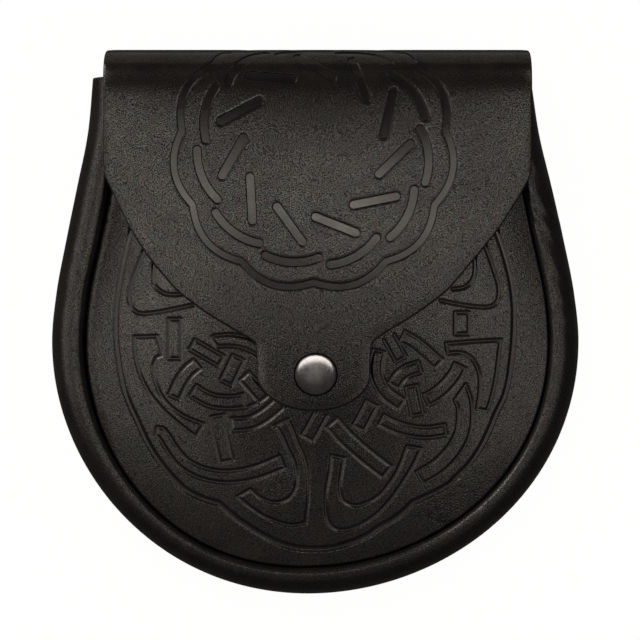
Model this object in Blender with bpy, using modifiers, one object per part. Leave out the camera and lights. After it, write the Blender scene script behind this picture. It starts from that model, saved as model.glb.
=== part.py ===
"""A day sporran: a leather pouch with a turned-over flap, a rolled gusset and a press stud.

The pouch is drawn in its own frame, in metres: X to the right seen from the front, Y up the
pouch and Z out of its front, with the outer face of the back panel at Z = 0. An empty then
leans the whole pouch back a little, because the finished sporran lies on its belt loops and
on the bottom edge of its back panel.
"""

import math

import bmesh
import bpy
import numpy as np
from mathutils import Matrix, Vector

MM = 0.001
GAP = 0.3 * MM                 # air between two pieces that lie on each other

# Leather and depth
BLANK_THICK = 2.5 * MM         # back panel, fold and flap
PANEL_THICK = 2.5 * MM         # front panel
GUSSET_THICK = 2.0 * MM
LOOP_THICK = 1.8 * MM
SIDE_Z = 14.0 * MM             # height of the gusset's widest line
CREST_Z = 26.8 * MM            # top of the rolled rim
CREST_END_Z = 23.6 * MM        # the same where the rim runs under the fold
SEAM_Z = 22.4 * MM             # bottom of the groove between rim and front panel
PANEL_EDGE_Z = 24.4 * MM       # front panel at its sewn edge, outer face
PANEL_DOME = 4.8 * MM          # how far its middle stands above that
PANEL_DOME_POWER = 3.5
FLAP_Z = 32.6 * MM             # outer face of the flap below the fold
FLAP_TIP_Z = 32.2 * MM         # outer face at the tip of the tab
FLAP_ARCH = 2.2 * MM           # how far the flap drops towards its side edges
FLAP_BULGE = 0.0014 / MM       # how fast the flap turns down towards the fold
FLAP_BULGE_Y = 54.0 * MM       # where it starts to

# Outline of the pouch, seen from the front
WIDEST_Y = -8.0 * MM
RIM_DEPTH = 95.2 * MM          # from the widest line to the bottom of the rim
SEAM_DEPTH = 84.3 * MM         # the same for the groove
SEAM_ROUNDNESS = 2.05          # exponent of the lower curve, 2 being an ellipse
RIM_ROUNDNESS = 2.0
GUSSET_TOP_Y = 91.0 * MM
PANEL_TOP_Y = 84.0 * MM        # the open edge, hidden under the flap
MOUTH_Y = 58.0 * MM            # above this the front panel flattens towards its open edge
BACK_INSET = 1.5 * MM          # back panel inside the rim's outline
BACK_TUCK = 3.2 * MM           # how far the gusset draws in where it meets the back
CREST_SHARE = 0.78             # place of the crest between rim and groove

# Half widths above the widest line: height, rim, groove (mm)
SIDE_ROWS = (
    (91.0, 82.7, 69.8),
    (70.0, 85.2, 72.9),
    (50.0, 89.6, 76.9),
    (30.0, 93.9, 81.0),
    (10.0, 97.7, 85.3),
    (-8.0, 99.35, 86.8),
)
# Hand work left the pouch a little lopsided: sideways shift at its top and bottom
RIM_LEAN_TOP, RIM_LEAN_BOTTOM = -1.3 * MM, -2.7 * MM
SEAM_LEAN_TOP, SEAM_LEAN_BOTTOM = -0.8 * MM, -4.8 * MM
SEAM_SHIFT = 0.5 * MM

# Fold
FOLD_TOP_Y = 101.7 * MM
FOLD_MID_Z = 15.5 * MM         # height of the fold's outermost line
FOLD_FRONT_Y = 78.0 * MM       # where the flap starts to bend
FOLD_BACK_Y = 88.0 * MM        # where the back panel starts to bend
FOLD_FLATNESS = 4.5            # exponent of the flap's bend, 2 being an ellipse
FOLD_HALF = 79.4 * MM
FOLD_CENTRE = 0.9 * MM

# Flap edge from the straight sides down to the tab: height, half width, centre (mm)
FLAP_ROWS = (
    (70.0, 79.4, 0.9),
    (60.0, 79.4, 0.9),
    (54.5, 79.1, 0.9),
    (51.0, 77.8, 0.9),
    (46.0, 75.2, 0.7),
    (39.5, 71.6, 0.2),
    (33.0, 67.8, -0.3),
    (27.0, 63.6, -0.8),
    (21.0, 58.9, -1.2),
    (15.5, 54.3, -1.2),
    (10.3, 49.5, -1.2),
    (4.1, 41.4, -1.2),
    (-0.7, 34.0, -1.2),
    (-5.5, 25.9, -1.0),
    (-8.1, 22.3, -0.6),
    (-9.8, 21.4, -0.5),
    (-14.8, 21.0, -0.5),
    (-20.3, 20.9, -0.5),
)
TAB_END_DEPTH = 13.3 * MM      # the rounded end below the last row

# Press stud
STUD_X, STUD_Y = 0.2 * MM, -20.1 * MM
CAP_RADIUS = 7.5 * MM
CAP_HEIGHT = 3.4 * MM
CAP_RIM = 0.9 * MM             # straight height of the cap's edge
BARREL_RADIUS = 3.4 * MM
BARREL_BORE = 2.1 * MM
STEM_RADIUS = 1.8 * MM
STEM_WAIST = 2.6 * MM          # thicker stretch of the stem in the front panel
WASHER_RADIUS = 5.5 * MM
WASHER_THICK = 1.2 * MM

# Belt loops
LOOP_X = 48.0 * MM             # centre of each loop from the middle
LOOP_Y = 58.0 * MM             # centre height
LOOP_WIDTH = 26.0 * MM
LOOP_TUNNEL = 32.0 * MM        # clear height for the belt
LOOP_CLEAR = 5.4 * MM          # clear depth for the belt
LOOP_TAB = 12.0 * MM           # sewn flat at each end
LOOP_RISE = 5.0 * MM           # length of the bend between tab and bridge

COLUMNS = 20                   # cells across the blank and the front panel


def smooth_table(rows, column, y):
    """Value of a table's column at height y, on a smooth curve through its rows."""
    heights = np.array([row[0] for row in rows][::-1])
    values = np.array([row[column] for row in rows][::-1])
    slopes = np.gradient(values, heights)
    slopes[0] = 0.0
    at = float(np.clip(y / MM, heights[0], heights[-1]))
    low = min(max(int(np.searchsorted(heights, at)) - 1, 0), len(heights) - 2)
    step = heights[low + 1] - heights[low]
    t = (at - heights[low]) / step
    start, end = 2 * t**3 - 3 * t**2 + 1, 3 * t**2 - 2 * t**3
    leave, arrive = t**3 - 2 * t**2 + t, t**3 - t**2
    value = start * values[low] + end * values[low + 1]
    return (value + step * (leave * slopes[low] + arrive * slopes[low + 1])) * MM


def sideways(y, top, bottom, depth):
    """Lopsided shift of an outline at height y."""
    if y > WIDEST_Y:
        return top * ((y - WIDEST_Y) / (GUSSET_TOP_Y - WIDEST_Y)) ** 2.5
    return bottom * min((WIDEST_Y - y) / depth, 1.0) ** 4


def rim_centre(y):
    return sideways(y, RIM_LEAN_TOP, RIM_LEAN_BOTTOM, RIM_DEPTH)


def seam_centre(y):
    return SEAM_SHIFT + sideways(y, SEAM_LEAN_TOP, SEAM_LEAN_BOTTOM, SEAM_DEPTH)


def side_point(column, y, centre, side):
    """Point of an outline above the widest line, on side -1 (left) or +1 (right)."""
    return Vector((centre(y) + side * smooth_table(SIDE_ROWS, column, y), y))


def bowl_point(angle, half, depth, roundness, centre):
    """Point of an outline below the widest line, at an angle from straight right to bottom."""
    power = 2 / roundness
    y = WIDEST_Y - depth * abs(math.sin(angle)) ** power
    reach = math.copysign(abs(math.cos(angle)) ** power, math.cos(angle))
    return Vector((centre(y) + half * reach, y))


def bulge(y):
    """How far the flap has turned down at height y, towards the fold."""
    return FLAP_BULGE / 2 * np.maximum(y - FLAP_BULGE_Y, 0.0) ** 2


def fold_profile():
    """Heights along the blank's outer face: distance, Y and Z from the fold's top line.

    Distance runs positive down the front and negative down the back.
    """
    turn = np.linspace(0, math.pi / 2, 60)
    front_y = FOLD_FRONT_Y + (FOLD_TOP_Y - FOLD_FRONT_Y) * np.cos(turn) ** (2 / FOLD_FLATNESS)
    front_z = FOLD_MID_Z + (FLAP_Z - bulge(front_y) - FOLD_MID_Z) * np.sin(turn)
    back_y = FOLD_BACK_Y + (FOLD_TOP_Y - FOLD_BACK_Y) * np.cos(turn[::-1])
    back_z = FOLD_MID_Z - FOLD_MID_Z * np.sin(turn[::-1])
    y = np.concatenate([back_y[:-1], front_y])
    z = np.concatenate([back_z[:-1], front_z])
    length = np.concatenate([[0], np.cumsum(np.hypot(np.diff(y), np.diff(z)))])
    return length - length[len(back_y) - 1], y, z


def flap_height(x, y):
    """Outer face of the flap below the fold."""
    tip_y = FLAP_ROWS[-1][0] * MM - TAB_END_DEPTH
    share = (FOLD_FRONT_Y - y) / (FOLD_FRONT_Y - tip_y)
    level = FLAP_Z + (FLAP_TIP_Z - FLAP_Z) * max(share, 0.0)
    bend = min(max((FOLD_TOP_Y - y) / (FOLD_TOP_Y - FLAP_BULGE_Y), 0.0), 1.0)
    arch = FLAP_ARCH * bend**2 * (3 - 2 * bend) * (x / FOLD_HALF) ** 2
    return float(level - arch - bulge(y))


def panel_radius(x, y):
    """Place on the front panel, from 0 in the middle to 1 at its sewn edge."""
    across = abs(x - seam_centre(y))
    if y > WIDEST_Y:
        return min(across / smooth_table(SIDE_ROWS, 2, y), 1.0)
    half = smooth_table(SIDE_ROWS, 2, WIDEST_Y)
    down = (WIDEST_Y - y) / SEAM_DEPTH
    power = SEAM_ROUNDNESS
    return min(((across / half) ** power + down**power) ** (1 / power), 1.0)


def panel_height(x, y):
    """Outer face of the front panel."""
    mouth = max((y - MOUTH_Y) / (PANEL_TOP_Y - MOUTH_Y), 0.0)
    dome = PANEL_DOME * (1 - mouth**2)
    return PANEL_EDGE_Z + dome * (1 - panel_radius(x, y) ** PANEL_DOME_POWER)


def bowl_cell(a, b, half, depth, roundness, centre):
    """Maps a square's lower half, a from -1 to 1 and b from 0 to 1, into an outline's bowl."""
    x = a * math.sqrt(1 - b * b / 2)
    down = b * math.sqrt(1 - a * a / 2)
    radius = math.hypot(x, down)
    if radius > 0:
        share = (abs(x) ** roundness + down**roundness) ** (1 / roundness)
        x, down = x * radius / share, down * radius / share
    y = WIDEST_Y - depth * down
    return centre(y) + half * x, y


def grid_object(name, rows, place, thickness, flip):
    """A grid of COLUMNS cells by the rows, put in place point by point and given its thickness.

    place(row, a) returns a point, with a from -1 at the left edge to 1 at the right one.
    Rows that run down the front instead of up it need flip, so that the faces look outwards.
    """
    mesh = bpy.data.meshes.new(name)
    bm = bmesh.new()
    bmesh.ops.create_grid(bm, x_segments=COLUMNS, y_segments=len(rows) - 1, size=1)
    for vert in bm.verts:
        row = rows[round((vert.co.y + 1) / 2 * (len(rows) - 1))]
        vert.co = place(row, vert.co.x)
    if flip:
        bmesh.ops.reverse_faces(bm, faces=bm.faces)
    bm.to_mesh(mesh)
    bm.free()
    piece = bpy.data.objects.new(name, mesh)
    add_wall(piece, thickness)
    return piece


def add_wall(piece, thickness):
    """Gives an open surface its thickness, behind the faces that show."""
    wall = piece.modifiers.new("leather", "SOLIDIFY")
    wall.thickness = thickness
    wall.offset = -1
    wall.use_even_offset = True


def make_blank():
    """Back panel, fold and flap, cut from one piece of leather."""
    distance, fold_y, fold_z = fold_profile()
    front_end, back_end = distance[-1], distance[0]
    rows = [("tab", b) for b in (1.0, 0.8, 0.55, 0.28)]
    rows += [("flap", row) for row in FLAP_ROWS[::-1]]
    rows += [("fold", front_end * share) for share in np.linspace(1, 0, 14)]
    rows += [("fold", back_end * share) for share in np.linspace(0.17, 1, 6)]
    rows += [("back", y * MM) for y in (78.0, 62.0, 46.0, 30.0, 14.0, -8.0)]
    rows += [("bowl", b) for b in (0.22, 0.43, 0.62, 0.8, 0.92, 1.0)]
    half = smooth_table(SIDE_ROWS, 1, WIDEST_Y) - BACK_INSET

    def place(row, a):
        part, value = row
        if part == "tab":
            end_y, end_half, centre = (size * MM for size in FLAP_ROWS[-1])
            x = centre + end_half * a * math.sqrt(1 - value * value / 2)
            y = end_y - TAB_END_DEPTH * value * math.sqrt(1 - a * a / 2)
            return x, y, flap_height(x, y)
        if part == "flap":
            y, reach, centre = (size * MM for size in value)
            x = centre + reach * a
            return x, y, flap_height(x, y)
        if part == "fold":
            y = float(np.interp(value, distance, fold_y))
            z = float(np.interp(value, distance, fold_z))
            x = FOLD_CENTRE + FOLD_HALF * a
            if value > 0:
                z += flap_height(x, y) - flap_height(0.0, y)
            return x, y, z
        if part == "back":
            reach = smooth_table(SIDE_ROWS, 1, value) - BACK_INSET
            return rim_centre(value) + reach * a, value, 0.0
        depth = RIM_DEPTH - BACK_INSET
        x, y = bowl_cell(a, value, half, depth, RIM_ROUNDNESS, rim_centre)
        return x, y, 0.0

    return grid_object("back_and_flap", rows, place, BLANK_THICK, flip=False)


def make_front_panel():
    """The front of the pouch, domed between its sewn edges and open along its top."""
    rows = [("side", y) for y in np.linspace(PANEL_TOP_Y, WIDEST_Y, 9)]
    rows += [("bowl", b) for b in (0.16, 0.32, 0.48, 0.64, 0.78, 0.9, 1.0)]
    half = smooth_table(SIDE_ROWS, 2, WIDEST_Y) - GAP

    def place(row, a):
        part, value = row
        bowed = math.sin(a * math.pi / 2) * 0.35 + a * 0.65
        if part == "side":
            reach = smooth_table(SIDE_ROWS, 2, value) - GAP
            x, y = seam_centre(value) + reach * bowed, value
        else:
            x, y = bowl_cell(bowed, value, half, SEAM_DEPTH - GAP, SEAM_ROUNDNESS, seam_centre)
        return x, y, panel_height(x, y)

    return grid_object("front_panel", rows, place, PANEL_THICK, flip=True)


def gusset_stations():
    """Pairs of rim and groove points from the left end, round the bottom, to the right end."""
    heights = np.linspace(GUSSET_TOP_Y, WIDEST_Y, 15)[:-1]
    rim_half = smooth_table(SIDE_ROWS, 1, WIDEST_Y)
    seam_half = smooth_table(SIDE_ROWS, 2, WIDEST_Y)
    sides = {
        side: [
            (side_point(1, y, rim_centre, side), side_point(2, y, seam_centre, side))
            for y in heights
        ]
        for side in (-1, 1)
    }
    bowl = [
        (
            bowl_point(angle, rim_half, RIM_DEPTH, RIM_ROUNDNESS, rim_centre),
            bowl_point(angle, seam_half, SEAM_DEPTH, SEAM_ROUNDNESS, seam_centre),
        )
        for angle in np.linspace(math.pi, 0, 41)
    ]
    return sides[-1] + bowl + sides[1][::-1]


def gusset_section(width, y):
    """The rolled strip's outer face across its width: distance in from the rim, and height."""
    bent = max((y - 74 * MM) / (GUSSET_TOP_Y - 74 * MM), 0.0)
    crest_z = CREST_Z + (CREST_END_Z - CREST_Z) * bent**1.5
    foot_z = BLANK_THICK + GAP
    if y > FOLD_BACK_Y:
        run = (y - FOLD_BACK_Y) / (FOLD_TOP_Y - FOLD_BACK_Y)
        foot_z += 1.6 * FOLD_MID_Z * (1 - math.sqrt(1 - run * run))
    crest_in = CREST_SHARE * width
    quarter = math.pi / 2
    section = [
        (BACK_TUCK * share**2, SIDE_Z - (SIDE_Z - foot_z) * share) for share in (1, 0.67, 0.33)
    ]
    for turn in np.linspace(0, quarter, 5)[:-1]:
        section.append(
            (crest_in * (1 - math.cos(turn)), SIDE_Z + (crest_z - SIDE_Z) * math.sin(turn))
        )
    for turn in np.linspace(0, quarter, 5):
        section.append(
            (
                crest_in + (width - crest_in) * math.sin(turn),
                crest_z - (CREST_Z - SEAM_Z) * (1 - math.cos(turn)),
            )
        )
    return section


def make_gusset():
    """The side strip, swept round the pouch between the rim and the groove."""
    stations = gusset_stations()
    sections = []
    for rim, seam in stations:
        inward = seam - rim
        width = inward.length
        inward.normalize()
        sections.append(
            [(*(rim + inward * reach), z) for reach, z in gusset_section(width, rim.y)]
        )
    bm = bmesh.new()
    bmesh.ops.create_grid(
        bm, x_segments=len(sections) - 1, y_segments=len(sections[0]) - 1, size=1
    )
    for vert in bm.verts:
        along = round((vert.co.x + 1) / 2 * (len(sections) - 1))
        across = round((vert.co.y + 1) / 2 * (len(sections[0]) - 1))
        vert.co = sections[along][across]
    mesh = bpy.data.meshes.new("gusset")
    bm.to_mesh(mesh)
    bm.free()
    piece = bpy.data.objects.new("gusset", mesh)
    add_wall(piece, GUSSET_THICK)
    return piece


def turned(name, profile, base, sides=28):
    """A round piece: a profile of radius and height, from its top down, turned about Z."""
    mesh = bpy.data.meshes.new(name)
    points = [(radius, 0, height) for radius, height in profile]
    mesh.from_pydata(points, [(i, i + 1) for i in range(len(points) - 1)], [])
    piece = bpy.data.objects.new(name, mesh)
    piece.location = base
    turn = piece.modifiers.new("turn", "SCREW")
    turn.steps = turn.render_steps = sides
    turn.use_merge_vertices = True
    turn.merge_threshold = 0.00001
    turn.use_smooth_shade = True
    return piece


def make_stud_cap():
    """The domed cap on the flap, with the socket barrel that goes through the tab."""
    flap_face = flap_height(STUD_X, STUD_Y)
    underside = GAP
    barrel_end = -BLANK_THICK
    roof = 0.4 * MM
    dome = [
        (CAP_RADIUS * math.sin(turn), CAP_RIM + (CAP_HEIGHT - CAP_RIM) * math.cos(turn))
        for turn in np.linspace(0, math.pi / 2, 7)
    ]
    profile = dome + [
        (CAP_RADIUS, underside),
        (BARREL_RADIUS, underside),
        (BARREL_RADIUS, barrel_end),
        (BARREL_BORE, barrel_end),
        (BARREL_BORE, roof),
        (0, roof),
    ]
    return turned("stud_cap", profile, (STUD_X, STUD_Y, flap_face))


def make_stud_base():
    """The hidden half of the stud: a washer inside the pouch and a stem up into the cap."""
    panel_face = panel_height(STUD_X, STUD_Y)
    stem_top = flap_height(STUD_X, STUD_Y) - panel_face - 0.3 * MM
    washer_top = -PANEL_THICK - GAP
    profile = [
        (0, stem_top),
        (STEM_RADIUS * 0.8, stem_top),
        (STEM_RADIUS, stem_top - 0.5 * MM),
        (STEM_RADIUS, 0),
        (STEM_WAIST, -GAP),
        (STEM_WAIST, washer_top),
        (WASHER_RADIUS, washer_top),
        (WASHER_RADIUS, washer_top - WASHER_THICK),
        (0, washer_top - WASHER_THICK),
    ]
    return turned("stud_base", profile, (STUD_X, STUD_Y, panel_face))


def bore_for(piece, radius, cutters):
    """Cuts the stud's hole through a leather piece."""
    bpy.ops.mesh.primitive_cylinder_add(
        vertices=28,
        radius=radius + GAP,
        depth=16 * MM,
        location=(STUD_X, STUD_Y, PANEL_EDGE_Z + PANEL_DOME),
    )
    cutter = bpy.context.object
    cutter.name = f"{piece.name}_stud_hole"
    cutter.hide_render = True
    cutter.display_type = "WIRE"
    move_to(cutter, cutters)
    hole = piece.modifiers.new("stud hole", "BOOLEAN")
    hole.operation = "DIFFERENCE"
    hole.object = cutter
    return cutter


def make_belt_loop(name, side):
    """A strip on the back panel, sewn flat at both ends and bridged over the belt."""
    sewn = GAP
    clear = LOOP_CLEAR
    half_tunnel = LOOP_TUNNEL / 2
    bends = [(0.0, 0.0), (0.25, 0.1), (0.5, 0.5), (0.75, 0.9), (1.0, 1.0)]
    upper = [(half_tunnel + LOOP_RISE + LOOP_TAB, sewn)]
    upper += [
        (half_tunnel + LOOP_RISE * (1 - along), sewn + (clear - sewn) * rise)
        for along, rise in bends
    ]
    section = upper + [(-y, depth) for y, depth in upper[::-1]]
    bm = bmesh.new()
    bmesh.ops.create_grid(bm, x_segments=1, y_segments=len(section) - 1, size=1)
    for vert in bm.verts:
        y, depth = section[round((vert.co.y + 1) / 2 * (len(section) - 1))]
        vert.co = (vert.co.x * LOOP_WIDTH / 2, y, -depth)
    bmesh.ops.reverse_faces(bm, faces=bm.faces)
    mesh = bpy.data.meshes.new(name)
    bm.to_mesh(mesh)
    bm.free()
    piece = bpy.data.objects.new(name, mesh)
    piece.location = (side * LOOP_X, LOOP_Y, 0)
    add_wall(piece, LOOP_THICK)
    return piece


def plain_material(name, colour, roughness, metallic):
    """A plain surface colour for a group of pieces."""
    material = bpy.data.materials.new(name)
    material.use_nodes = True
    shader = material.node_tree.nodes["Principled BSDF"]
    shader.inputs["Base Color"].default_value = (*colour, 1)
    shader.inputs["Roughness"].default_value = roughness
    shader.inputs["Metallic"].default_value = metallic
    return material


def move_to(piece, collection):
    """Leaves the piece in this collection alone."""
    for held in piece.users_collection:
        held.objects.unlink(piece)
    collection.objects.link(piece)


def world_corners(pieces):
    """All points of the finished pieces, as they lie in the world."""
    bpy.context.view_layer.update()
    depsgraph = bpy.context.evaluated_depsgraph_get()
    points = []
    for piece in pieces:
        shown = piece.evaluated_get(depsgraph)
        mesh = shown.to_mesh()
        points += [shown.matrix_world @ vert.co for vert in mesh.vertices]
        shown.to_mesh_clear()
    return np.array(points)


def rest_on_back(lean, pieces):
    """Leans the pouch until loops and bottom edge touch the ground, and centres it there."""
    loop_foot_y = LOOP_Y - LOOP_TUNNEL / 2
    loop_depth = LOOP_CLEAR + LOOP_THICK
    bottom_y = WIDEST_Y - RIM_DEPTH + BACK_INSET
    lean.rotation_euler.x = math.atan2(loop_depth, loop_foot_y - bottom_y)
    points = world_corners(pieces)
    low, high = points.min(axis=0), points.max(axis=0)
    centre = (low + high) / 2
    lean.location = (-centre[0], -centre[1], -low[2])


def main():
    for old in list(bpy.data.objects):
        bpy.data.objects.remove(old)
    pouch = bpy.data.collections.new("sporran")
    cutters = bpy.data.collections.new("cutters")
    for collection in (pouch, cutters):
        bpy.context.scene.collection.children.link(collection)

    leather = plain_material("black_leather", (0.012, 0.011, 0.010), 0.45, 0.0)
    metal = plain_material("antique_nickel", (0.30, 0.27, 0.25), 0.32, 1.0)

    blank = make_blank()
    panel = make_front_panel()
    gusset = make_gusset()
    loops = [make_belt_loop("belt_loop_left", -1), make_belt_loop("belt_loop_right", 1)]
    cap = make_stud_cap()
    base = make_stud_base()
    holes = [
        bore_for(blank, BARREL_RADIUS, cutters),
        bore_for(panel, STEM_WAIST, cutters),
    ]

    lean = bpy.data.objects.new("lean", None)
    pouch.objects.link(lean)
    pieces = [blank, panel, gusset, *loops, cap, base]
    for piece in pieces:
        move_to(piece, pouch)
        piece.data.materials.append(metal if piece in (cap, base) else leather)
        piece.data.shade_smooth()
    for piece in pieces + holes:
        piece.parent = lean
    rest_on_back(lean, pieces)


main()
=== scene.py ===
"""Looks of a leather day sporran: embossed flap and front, rolled gusset, press stud, belt loops.

Sizes are millimetres in the pouch's own frame: X right, Y up the pouch, Z out of its front, with the
outer face of the back panel at Z = 0. Lean turns them into the frame in which the pouch lies, in metres.
"""

from __future__ import annotations

import logging
import math
from dataclasses import dataclass
from enum import Enum
from typing import Callable

import bpy
import numpy as np
from mathutils import Matrix, Vector
from mathutils.geometry import delaunay_2d_cdt

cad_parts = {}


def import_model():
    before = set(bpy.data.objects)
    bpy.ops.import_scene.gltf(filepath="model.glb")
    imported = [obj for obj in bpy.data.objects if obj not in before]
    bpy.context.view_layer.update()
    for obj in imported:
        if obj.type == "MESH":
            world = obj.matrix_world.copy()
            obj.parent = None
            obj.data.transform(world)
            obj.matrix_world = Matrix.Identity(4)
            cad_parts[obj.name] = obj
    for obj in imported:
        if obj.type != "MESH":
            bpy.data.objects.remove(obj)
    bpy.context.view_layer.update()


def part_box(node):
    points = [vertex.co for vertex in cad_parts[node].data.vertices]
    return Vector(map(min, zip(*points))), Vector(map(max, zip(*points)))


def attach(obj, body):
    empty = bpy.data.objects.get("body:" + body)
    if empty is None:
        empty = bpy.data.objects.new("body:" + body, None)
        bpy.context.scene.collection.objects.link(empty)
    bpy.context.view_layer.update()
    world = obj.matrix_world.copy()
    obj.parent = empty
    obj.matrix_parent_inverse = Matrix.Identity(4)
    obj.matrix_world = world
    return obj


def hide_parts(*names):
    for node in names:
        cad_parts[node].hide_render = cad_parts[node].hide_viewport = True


LOG = logging.getLogger("sporran")
MM = 0.001
TINY = 1e-6  # shortest distance that has a direction
TRIANGLE_RISE = 0.866  # height of a triangle with equal sides, as a share of one side
NOISE_RANGE = (0.3, 0.7)  # what most values of a noise texture lie between

Array = np.ndarray
Point = tuple[float, float]
Spot = tuple[float, float, float]
Colour = tuple[float, float, float]
Noise = tuple[float, float, float]  # scale, detail and roughness
Run = tuple[Point, ...]
Table = tuple[tuple[float, ...], ...]
Surface = Callable[[Array], Array]
Socket = bpy.types.NodeSocket


# ---------------------------------------------------------------- shapes shared by the pieces


class SmoothTable:
    """One column of a table of sizes against height, as a smooth curve through its rows."""

    def __init__(self, rows: Table, column: int) -> None:
        """Keeps the column.

        Args:
            rows: The table, highest row first, with the height in its first column.
            column: The column to follow.
        """
        self.heights = np.array([row[0] for row in rows][::-1])
        self.values = np.array([row[column] for row in rows][::-1])
        self.slopes = np.gradient(self.values, self.heights)
        self.slopes[0] = 0.0

    def __call__(self, y: Array | float) -> Array:
        """Reads the curve.

        Args:
            y: Heights.

        Returns:
            The column's value at each height.
        """
        at = np.clip(y, self.heights[0], self.heights[-1])
        low = np.clip(np.searchsorted(self.heights, at) - 1, 0, len(self.heights) - 2)
        step = self.heights[low + 1] - self.heights[low]
        t = (at - self.heights[low]) / step
        start, end = 2 * t**3 - 3 * t**2 + 1, 3 * t**2 - 2 * t**3
        leave, arrive = t**3 - 2 * t**2 + t, t**3 - t**2
        bend = leave * self.slopes[low] + arrive * self.slopes[low + 1]
        return start * self.values[low] + end * self.values[low + 1] + step * bend


def both_sides(centre: Array | float, half: Array | float, y: Array) -> tuple[Array, Array]:
    """Left and right side of an outline, as points at some heights."""
    left, right = (np.column_stack([np.full_like(y, centre + side * half), y]) for side in (-1, 1))
    return left, right


@dataclass(frozen=True)
class PouchShape:
    """Outline and depth of the pouch, which all of its pieces follow."""

    gap: float = 0.3
    blank_thick: float = 2.5
    panel_thick: float = 2.5
    gusset_thick: float = 2.0
    side_z: float = 14.0
    crest_z: float = 26.8
    crest_end_z: float = 23.6
    seam_z: float = 22.4
    panel_edge_z: float = 24.4
    panel_dome: float = 4.8
    panel_dome_power: float = 3.5
    flap_z: float = 32.6
    flap_tip_z: float = 32.2
    flap_arch: float = 2.2
    flap_bulge: float = 0.0014
    flap_bulge_y: float = 54.0
    widest_y: float = -8.0
    rim_depth: float = 95.2
    seam_depth: float = 84.3
    seam_roundness: float = 2.05
    rim_roundness: float = 2.0
    gusset_top_y: float = 91.0
    panel_top_y: float = 84.0
    mouth_y: float = 58.0
    back_inset: float = 1.5
    back_tuck: float = 3.2
    crest_share: float = 0.78
    rim_lean_top: float = -1.3
    rim_lean_bottom: float = -2.7
    seam_lean_top: float = -0.8
    seam_lean_bottom: float = -4.8
    seam_shift: float = 0.5
    lean_power_above: float = 2.5
    lean_power_below: float = 4.0
    sink_y: float = 74.0
    sink_power: float = 1.5
    foot_climb: float = 1.6
    fold_top_y: float = 101.7
    fold_mid_z: float = 15.5
    fold_front_y: float = 78.0
    fold_back_y: float = 88.0
    fold_flatness: float = 4.5
    fold_half: float = 79.4
    fold_centre: float = 0.9
    fold_samples: int = 160
    side_step: float = 3.0
    tab_end_depth: float = 13.3
    stud: Point = (0.2, -20.1)
    # Half widths above the widest line: height, rim, groove
    side_rows: Table = (
        (91.0, 82.7, 69.8),
        (70.0, 85.2, 72.9),
        (50.0, 89.6, 76.9),
        (30.0, 93.9, 81.0),
        (10.0, 97.7, 85.3),
        (-8.0, 99.35, 86.8),
    )
    # Flap edge from the straight sides down to the tab: height, half width, centre
    flap_rows: Table = (
        (70.0, 79.4, 0.9),
        (60.0, 79.4, 0.9),
        (54.5, 79.1, 0.9),
        (51.0, 77.8, 0.9),
        (46.0, 75.2, 0.7),
        (39.5, 71.6, 0.2),
        (33.0, 67.8, -0.3),
        (27.0, 63.6, -0.8),
        (21.0, 58.9, -1.2),
        (15.5, 54.3, -1.2),
        (10.3, 49.5, -1.2),
        (4.1, 41.4, -1.2),
        (-0.7, 34.0, -1.2),
        (-5.5, 25.9, -1.0),
        (-8.1, 22.3, -0.6),
        (-9.8, 21.4, -0.5),
        (-14.8, 21.0, -0.5),
        (-20.3, 20.9, -0.5),
    )

    def _sideways(self, y: Array, top: float, bottom: float, depth: float) -> Array:
        """Lopsided shift of an outline at height y."""
        above = np.clip((y - self.widest_y) / (self.gusset_top_y - self.widest_y), 0, None)
        below = np.clip((self.widest_y - y) / depth, 0, 1)
        return top * above**self.lean_power_above + bottom * below**self.lean_power_below

    def rim_centre(self, y: Array) -> Array:
        """Middle of the rim's outline at height y."""
        return self._sideways(y, self.rim_lean_top, self.rim_lean_bottom, self.rim_depth)

    def seam_centre(self, y: Array) -> Array:
        """Middle of the groove's outline at height y."""
        shift = self._sideways(y, self.seam_lean_top, self.seam_lean_bottom, self.seam_depth)
        return self.seam_shift + shift

    def rim_half(self, y: Array) -> Array:
        """Half width of the rim above the widest line."""
        return SmoothTable(self.side_rows, 1)(y)

    def seam_half(self, y: Array) -> Array:
        """Half width inside the groove above the widest line."""
        return SmoothTable(self.side_rows, 2)(y)

    def _bowl(
        self, angle: Array, half: float, depth: float, roundness: float, centre: Surface
    ) -> Array:
        """Points of an outline below the widest line.

        Args:
            angle: Place on the curve, from pi at the left to 0 at the right.
            half: Half width at the widest line.
            depth: Depth below it.
            roundness: Exponent of the curve, 2 being an ellipse.
            centre: Sideways middle as a function of height.

        Returns:
            One row of X and Y for each angle.
        """
        power = 2 / roundness
        y = self.widest_y - depth * np.abs(np.sin(angle)) ** power
        reach = np.sign(np.cos(angle)) * np.abs(np.cos(angle)) ** power
        return np.column_stack([centre(y) + half * reach, y])

    def rim_bowl(self, angle: Array, inset: float = 0.0) -> Array:
        """The rim's outline below the widest line, drawn in by an inset."""
        half = float(self.rim_half(self.widest_y)) - inset
        return self._bowl(angle, half, self.rim_depth - inset, self.rim_roundness, self.rim_centre)

    def seam_bowl(self, angle: Array, inset: float = 0.0) -> Array:
        """The groove's outline below the widest line, drawn in by an inset."""
        half = float(self.seam_half(self.widest_y)) - inset
        return self._bowl(angle, half, self.seam_depth - inset, self.seam_roundness, self.seam_centre)

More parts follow.
